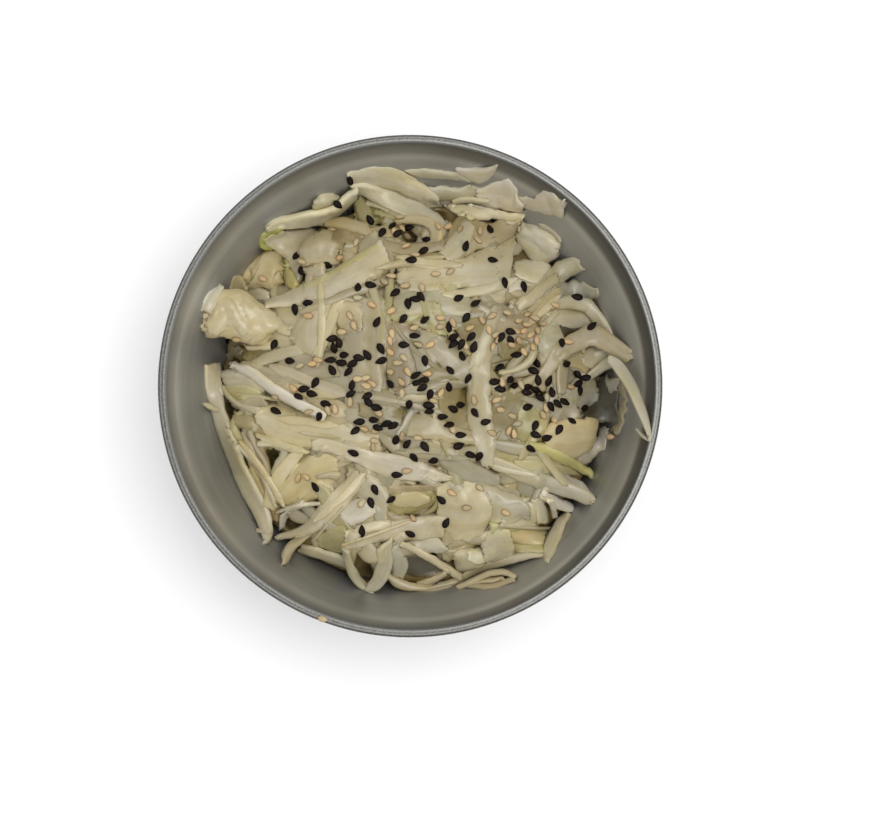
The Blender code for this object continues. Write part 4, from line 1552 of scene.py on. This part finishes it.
WHITE_SEEDS = (
    (332, 230, 10), (263, 279, 20), (308, 316, 5), (302, 262, 20), (340, 258, -25), (356, 243, -70),
    (400, 217, 5), (395, 233, 70), (438, 226, 60), (448, 227, -20), (460, 229, -75), (480, 231, 85),
    (478, 240, 35), (415, 255, 10), (436, 274, 0), (450, 272, -35), (384, 282, 35), (391, 276, 10),
    (405, 286, -10), (422, 288, 70), (358, 298, 0), (372, 305, 30), (391, 311, -30), (555, 305, 15),
    (237, 340, 0), (275, 397, 20), (309, 412, -10), (300, 366, -20), (312, 364, 0), (318, 360, 10),
    (293, 388, 40), (328, 411, 70), (335, 409, 80), (342, 332, 0), (354, 326, 70), (392, 334, 80),
    (414, 328, -15), (441, 318, 5), (441, 327, -10), (453, 323, 65), (390, 341, 70), (390, 352, 40),
    (398, 363, 0), (390, 372, 20), (404, 358, 45), (408, 372, 60), (401, 382, 50), (465, 345, 60),
    (427, 374, 0), (430, 345, -30), (358, 379, 0), (366, 378, -20), (372, 384, 30), (366, 386, 20),
    (402, 394, 85), (441, 393, -60), (434, 401, 10), (350, 402, 90), (378, 413, 30), (402, 436, 85),
    (418, 438, 10), (375, 431, -25), (364, 429, 20), (375, 441, 10), (373, 447, 80), (452, 429, 60),
    (474, 400, 80), (482, 320, 60), (470, 328, -20), (492, 316, -30), (507, 313, 10), (527, 315, -30),
    (527, 325, 0), (524, 331, -20), (531, 335, -30), (543, 324, 5), (489, 330, 80), (496, 335, -30),
    (499, 340, -40), (493, 347, -70), (524, 352, 60), (533, 347, 75), (569, 342, 0), (583, 350, 70),
    (571, 387, 0), (521, 385, 60), (502, 382, 80), (547, 398, 80), (497, 400, -20), (501, 410, 10),
    (512, 416, 20), (517, 424, -10), (509, 431, -70), (514, 434, 85), (492, 433, 20), (543, 415, 60),
    (554, 420, 70), (610, 437, 0), (298, 478, -70), (306, 477, 40), (407, 471, -5), (362, 503, -50),
    (413, 518, 60), (467, 508, 10), (452, 493, 30), (480, 488, 40), (506, 513, 20), (519, 341, 60),
    (546, 408, 80), (407, 236, 40), (406, 246, -30), (418, 345, 20), (519, 321, -20), (535, 318, 10),
    (350, 316, 60), (516, 331, 30), (538, 331, 70), (512, 345, 30), (537, 341, 85), (402, 228, 50),
)
# The one that sticks on the lip.
RIM_SEED = (323, 619, 10)

BLACK_SEED = dict(
    length=3.3 * MM, width=1.95 * MM, thick=0.95 * MM, skin=srgb(26, 17, 13), edge=srgb(13, 8, 7),
)
WHITE_SEED = dict(
    length=3.0 * MM, width=1.75 * MM, thick=0.9 * MM, skin=srgb(178, 158, 118), edge=srgb(136, 98, 60),
)
SEED_STATIONS = 11
SEED_AROUND = 12
BOWL_BELOW_SEGMENTS = 96

# Where a seed is carried, as shares of its length ahead of its middle and of its width beside it.
FRONT_REACH = 0.36
SIDE_REACH = 0.4
FEET = {
    "front": (FRONT_REACH, 0),
    "back": (-FRONT_REACH, 0),
    "left": (0, SIDE_REACH),
    "right": (0, -SIDE_REACH),
    "middle": (0, 0),
}

# A foot is looked for from this high above the seed, and counts if it is no further from it than this.
FOOT_ABOVE = 4 * MM
FOOT_AWAY = 2.5 * MM

# How high a seed's middle lies over what carries it, as a share of its thickness. Seeds this close lie on
# one another: each raises the next by this much, up to a limit.
SEED_REST = 0.34
NEAR_SEED = 1.9 * MM
SEED_STEP = 0.42 * MM
HIGHEST_LIFT = 1.0 * MM

# How steeply a seed can lean, forwards and sideways, and how the seeds differ in size and in thickness.
STEEPEST_PITCH = 0.9
STEEPEST_ROLL = 0.8
SEED_SIZES = (0.93, 1.06)
SEED_FATNESS = (0.9, 1.15)


def surface_below():
    """Everything laid so far and the bowl, for finding where a seed rests."""
    vertices, faces, count = [], [], 0
    for batch in batches.values():
        block = np.vstack(batch.vertices)
        vertices.append(block)
        faces += [tuple(index + count for index in face) for face in batch.faces]
        count += len(block)
    inner = np.vstack((INNER[:-1], lip_outline()))
    bowl_vertices, bowl_faces = turned(np.vstack((inner, (0, BOWL_HEIGHT))), BOWL_BELOW_SEGMENTS)
    vertices.append(bowl_vertices)
    lid = len(bowl_vertices) - 1
    faces += [tuple(index + count for index in face) for face in bowl_faces if lid not in face]
    return BVHTree.FromPolygons(np.vstack(vertices).tolist(), faces)


def seed_rings(form, squash):
    """A teardrop along X, pointed at one end, lying on its flat side."""
    t = np.linspace(0.02, 0.98, SEED_STATIONS)
    profile = np.sin(math.pi * t**0.78) ** 0.72
    turn = np.arange(SEED_AROUND) * math.tau / SEED_AROUND
    u, v = -np.cos(turn), np.sin(turn)
    x = np.repeat(((t - 0.5) * form["length"])[:, None], SEED_AROUND, axis=1)
    y = profile[:, None] * u * form["width"] / 2
    z = profile[:, None] ** 0.8 * np.sign(v) * abs(v) ** 0.85 * form["thick"] / 2 * squash
    rim = np.broadcast_to(abs(u) ** 5, x.shape)[..., None]
    tip = (np.clip(abs(t - 0.5) * 2, 0, 1) ** 6)[:, None, None]
    share = np.clip(rim + tip, 0, 1)
    tint = form["skin"] * (1 - share) + form["edge"] * share
    return np.stack((x, y, z), axis=-1), tint


def feet_heights(surface, spot, along, aside, form):
    """Heights of what carries a seed at each of its feet."""
    heights = {}
    for name, (ahead, beside) in FEET.items():
        step = along * form["length"] * ahead + aside * form["width"] * beside
        start = spot + step + Vector((0, 0, FOOT_ABOVE))
        hit = surface.ray_cast(start, Vector((0, 0, -1)))[0]
        heights[name] = hit.z if hit and abs(hit.z - spot.z) < FOOT_AWAY else spot.z
    return heights


def held(value, limit):
    """The value, or the limit where it goes beyond it on either side."""
    return min(max(value, -limit), limit)


def seed_axes(along, aside, pitch, roll):
    """The seed's own axes: forwards, sideways and up."""
    forward = (along + Vector((0, 0, pitch))).normalized()
    side = (aside + Vector((0, 0, roll))).normalized()
    up = forward.cross(side).normalized()
    return np.array((forward, up.cross(forward), up))


def lay_seed(batch, form, seed, surface, placed):
    """Lays one seed where its pixel's ray meets the surface, leaning as what carries it does."""
    px, py, degrees = seed
    ray = Vector(pixel_direction(px, py)).normalized()
    spot = surface.ray_cast(Vector(EYE), ray)[0]
    heading = math.radians(-degrees) + (math.pi if RANDOM.random() < 0.5 else 0)
    heading += RANDOM.normal(0, 0.05)
    along = Vector((math.cos(heading), math.sin(heading), 0))
    aside = Vector((-along.y, along.x, 0))
    size = RANDOM.uniform(*SEED_SIZES)
    feet = feet_heights(surface, spot, along, aside, form)
    pitch = (feet["front"] - feet["back"]) / (form["length"] * 2 * FRONT_REACH)
    roll = (feet["left"] - feet["right"]) / (form["width"] * 2 * SIDE_REACH)

    near = [height for x, y, height in placed if math.hypot(x - spot.x, y - spot.y) < NEAR_SEED]
    lift = 0.0
    if near:
        lift = held(max(0.0, max(near) + SEED_STEP - spot.z), HIGHEST_LIFT)
        pitch += RANDOM.normal(0, 0.2)
        roll += RANDOM.normal(0, 0.3)
    pitch = held(pitch, STEEPEST_PITCH) + RANDOM.normal(0, 0.04)
    roll = held(roll, STEEPEST_ROLL) + RANDOM.normal(0, 0.08)

    middle = max(feet["middle"], (feet["front"] + feet["back"]) / 2, (feet["left"] + feet["right"]) / 2)
    centre = Vector((spot.x, spot.y, middle + form["thick"] * SEED_REST + lift))
    rings, tint = seed_rings(form, RANDOM.uniform(*SEED_FATNESS))
    rings = np.array(centre) + (rings * size) @ seed_axes(along, aside, pitch, roll)
    batch.add(rings, rings[..., :2], varied(tint, 0.08, 0.05))
    placed.append((centre.x, centre.y, middle + lift))


surface = surface_below()
placed = []
sesame = {"white": Batch(), "black": Batch()}
for seed in (*WHITE_SEEDS, RIM_SEED):
    lay_seed(sesame["white"], WHITE_SEED, seed, surface, placed)
for seed in BLACK_SEEDS:
    lay_seed(sesame["black"], BLACK_SEED, seed, surface, placed)


# ---------------------------------------------------------------- objects
steel = steel_material()
firm = cabbage_material("cabbage", 0.42, 0.0)
wet = cabbage_material("wet_leaf", 0.36, 0.12)
black_skin = seed_material("black_sesame", 0.42, 0.10)
white_skin = seed_material("white_sesame", 0.45, 0.3)

outer = offset_outline(INNER, SHEET)
outline = np.vstack((INNER[:-1], lip_outline(), outer[:-1][::-1]))
vertices, faces = turned(outline, SEGMENTS)
bowl = new_object("steel_bowl", vertices, faces, steel)
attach(bowl, "root")
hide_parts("bowl")

for name, batch in batches.items():
    piece = batch.make(name, wet if name == "wet_leaves" else firm)
    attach(piece, "root")
    if name == "core":
        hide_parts("coleslaw")
for name, skin in (("white", white_skin), ("black", black_skin)):
    piece = sesame[name].make(name + "_sesame", skin)
    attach(piece, "root")

# ---------------------------------------------------------------- floor and light
FLOOR_SIZE = 12
SKY_STRENGTH = 0.95
KEY_PLACE = (0.22, 0.03, 0.93)
KEY_AIM = (0, 0, 0.04)
KEY_SIZE = 0.45
KEY_POWER = 3.2

bpy.ops.mesh.primitive_plane_add(size=FLOOR_SIZE)
floor = bpy.context.object
floor.name = "floor"
plain = Nodes("floor")
plain.set(Base_Color=(0.92, 0.92, 0.92, 1), Roughness=0.9)
floor.data.materials.append(plain.material)

world = bpy.data.worlds.new("studio")
bpy.context.scene.world = world
world.use_nodes = True
sky = world.node_tree.nodes["Background"]
sky.inputs["Color"].default_value = (1, 1, 1, 1)
sky.inputs["Strength"].default_value = SKY_STRENGTH

key = bpy.data.lights.new("key", "AREA")
key.size = KEY_SIZE
key.energy = KEY_POWER
lamp = bpy.data.objects.new("key", key)
bpy.context.scene.collection.objects.link(lamp)
lamp.location = KEY_PLACE
lamp.rotation_euler = (Vector(KEY_AIM) - Vector(KEY_PLACE)).to_track_quat("-Z", "Y").to_euler()
bpy.context.scene.view_settings.view_transform = "Standard"
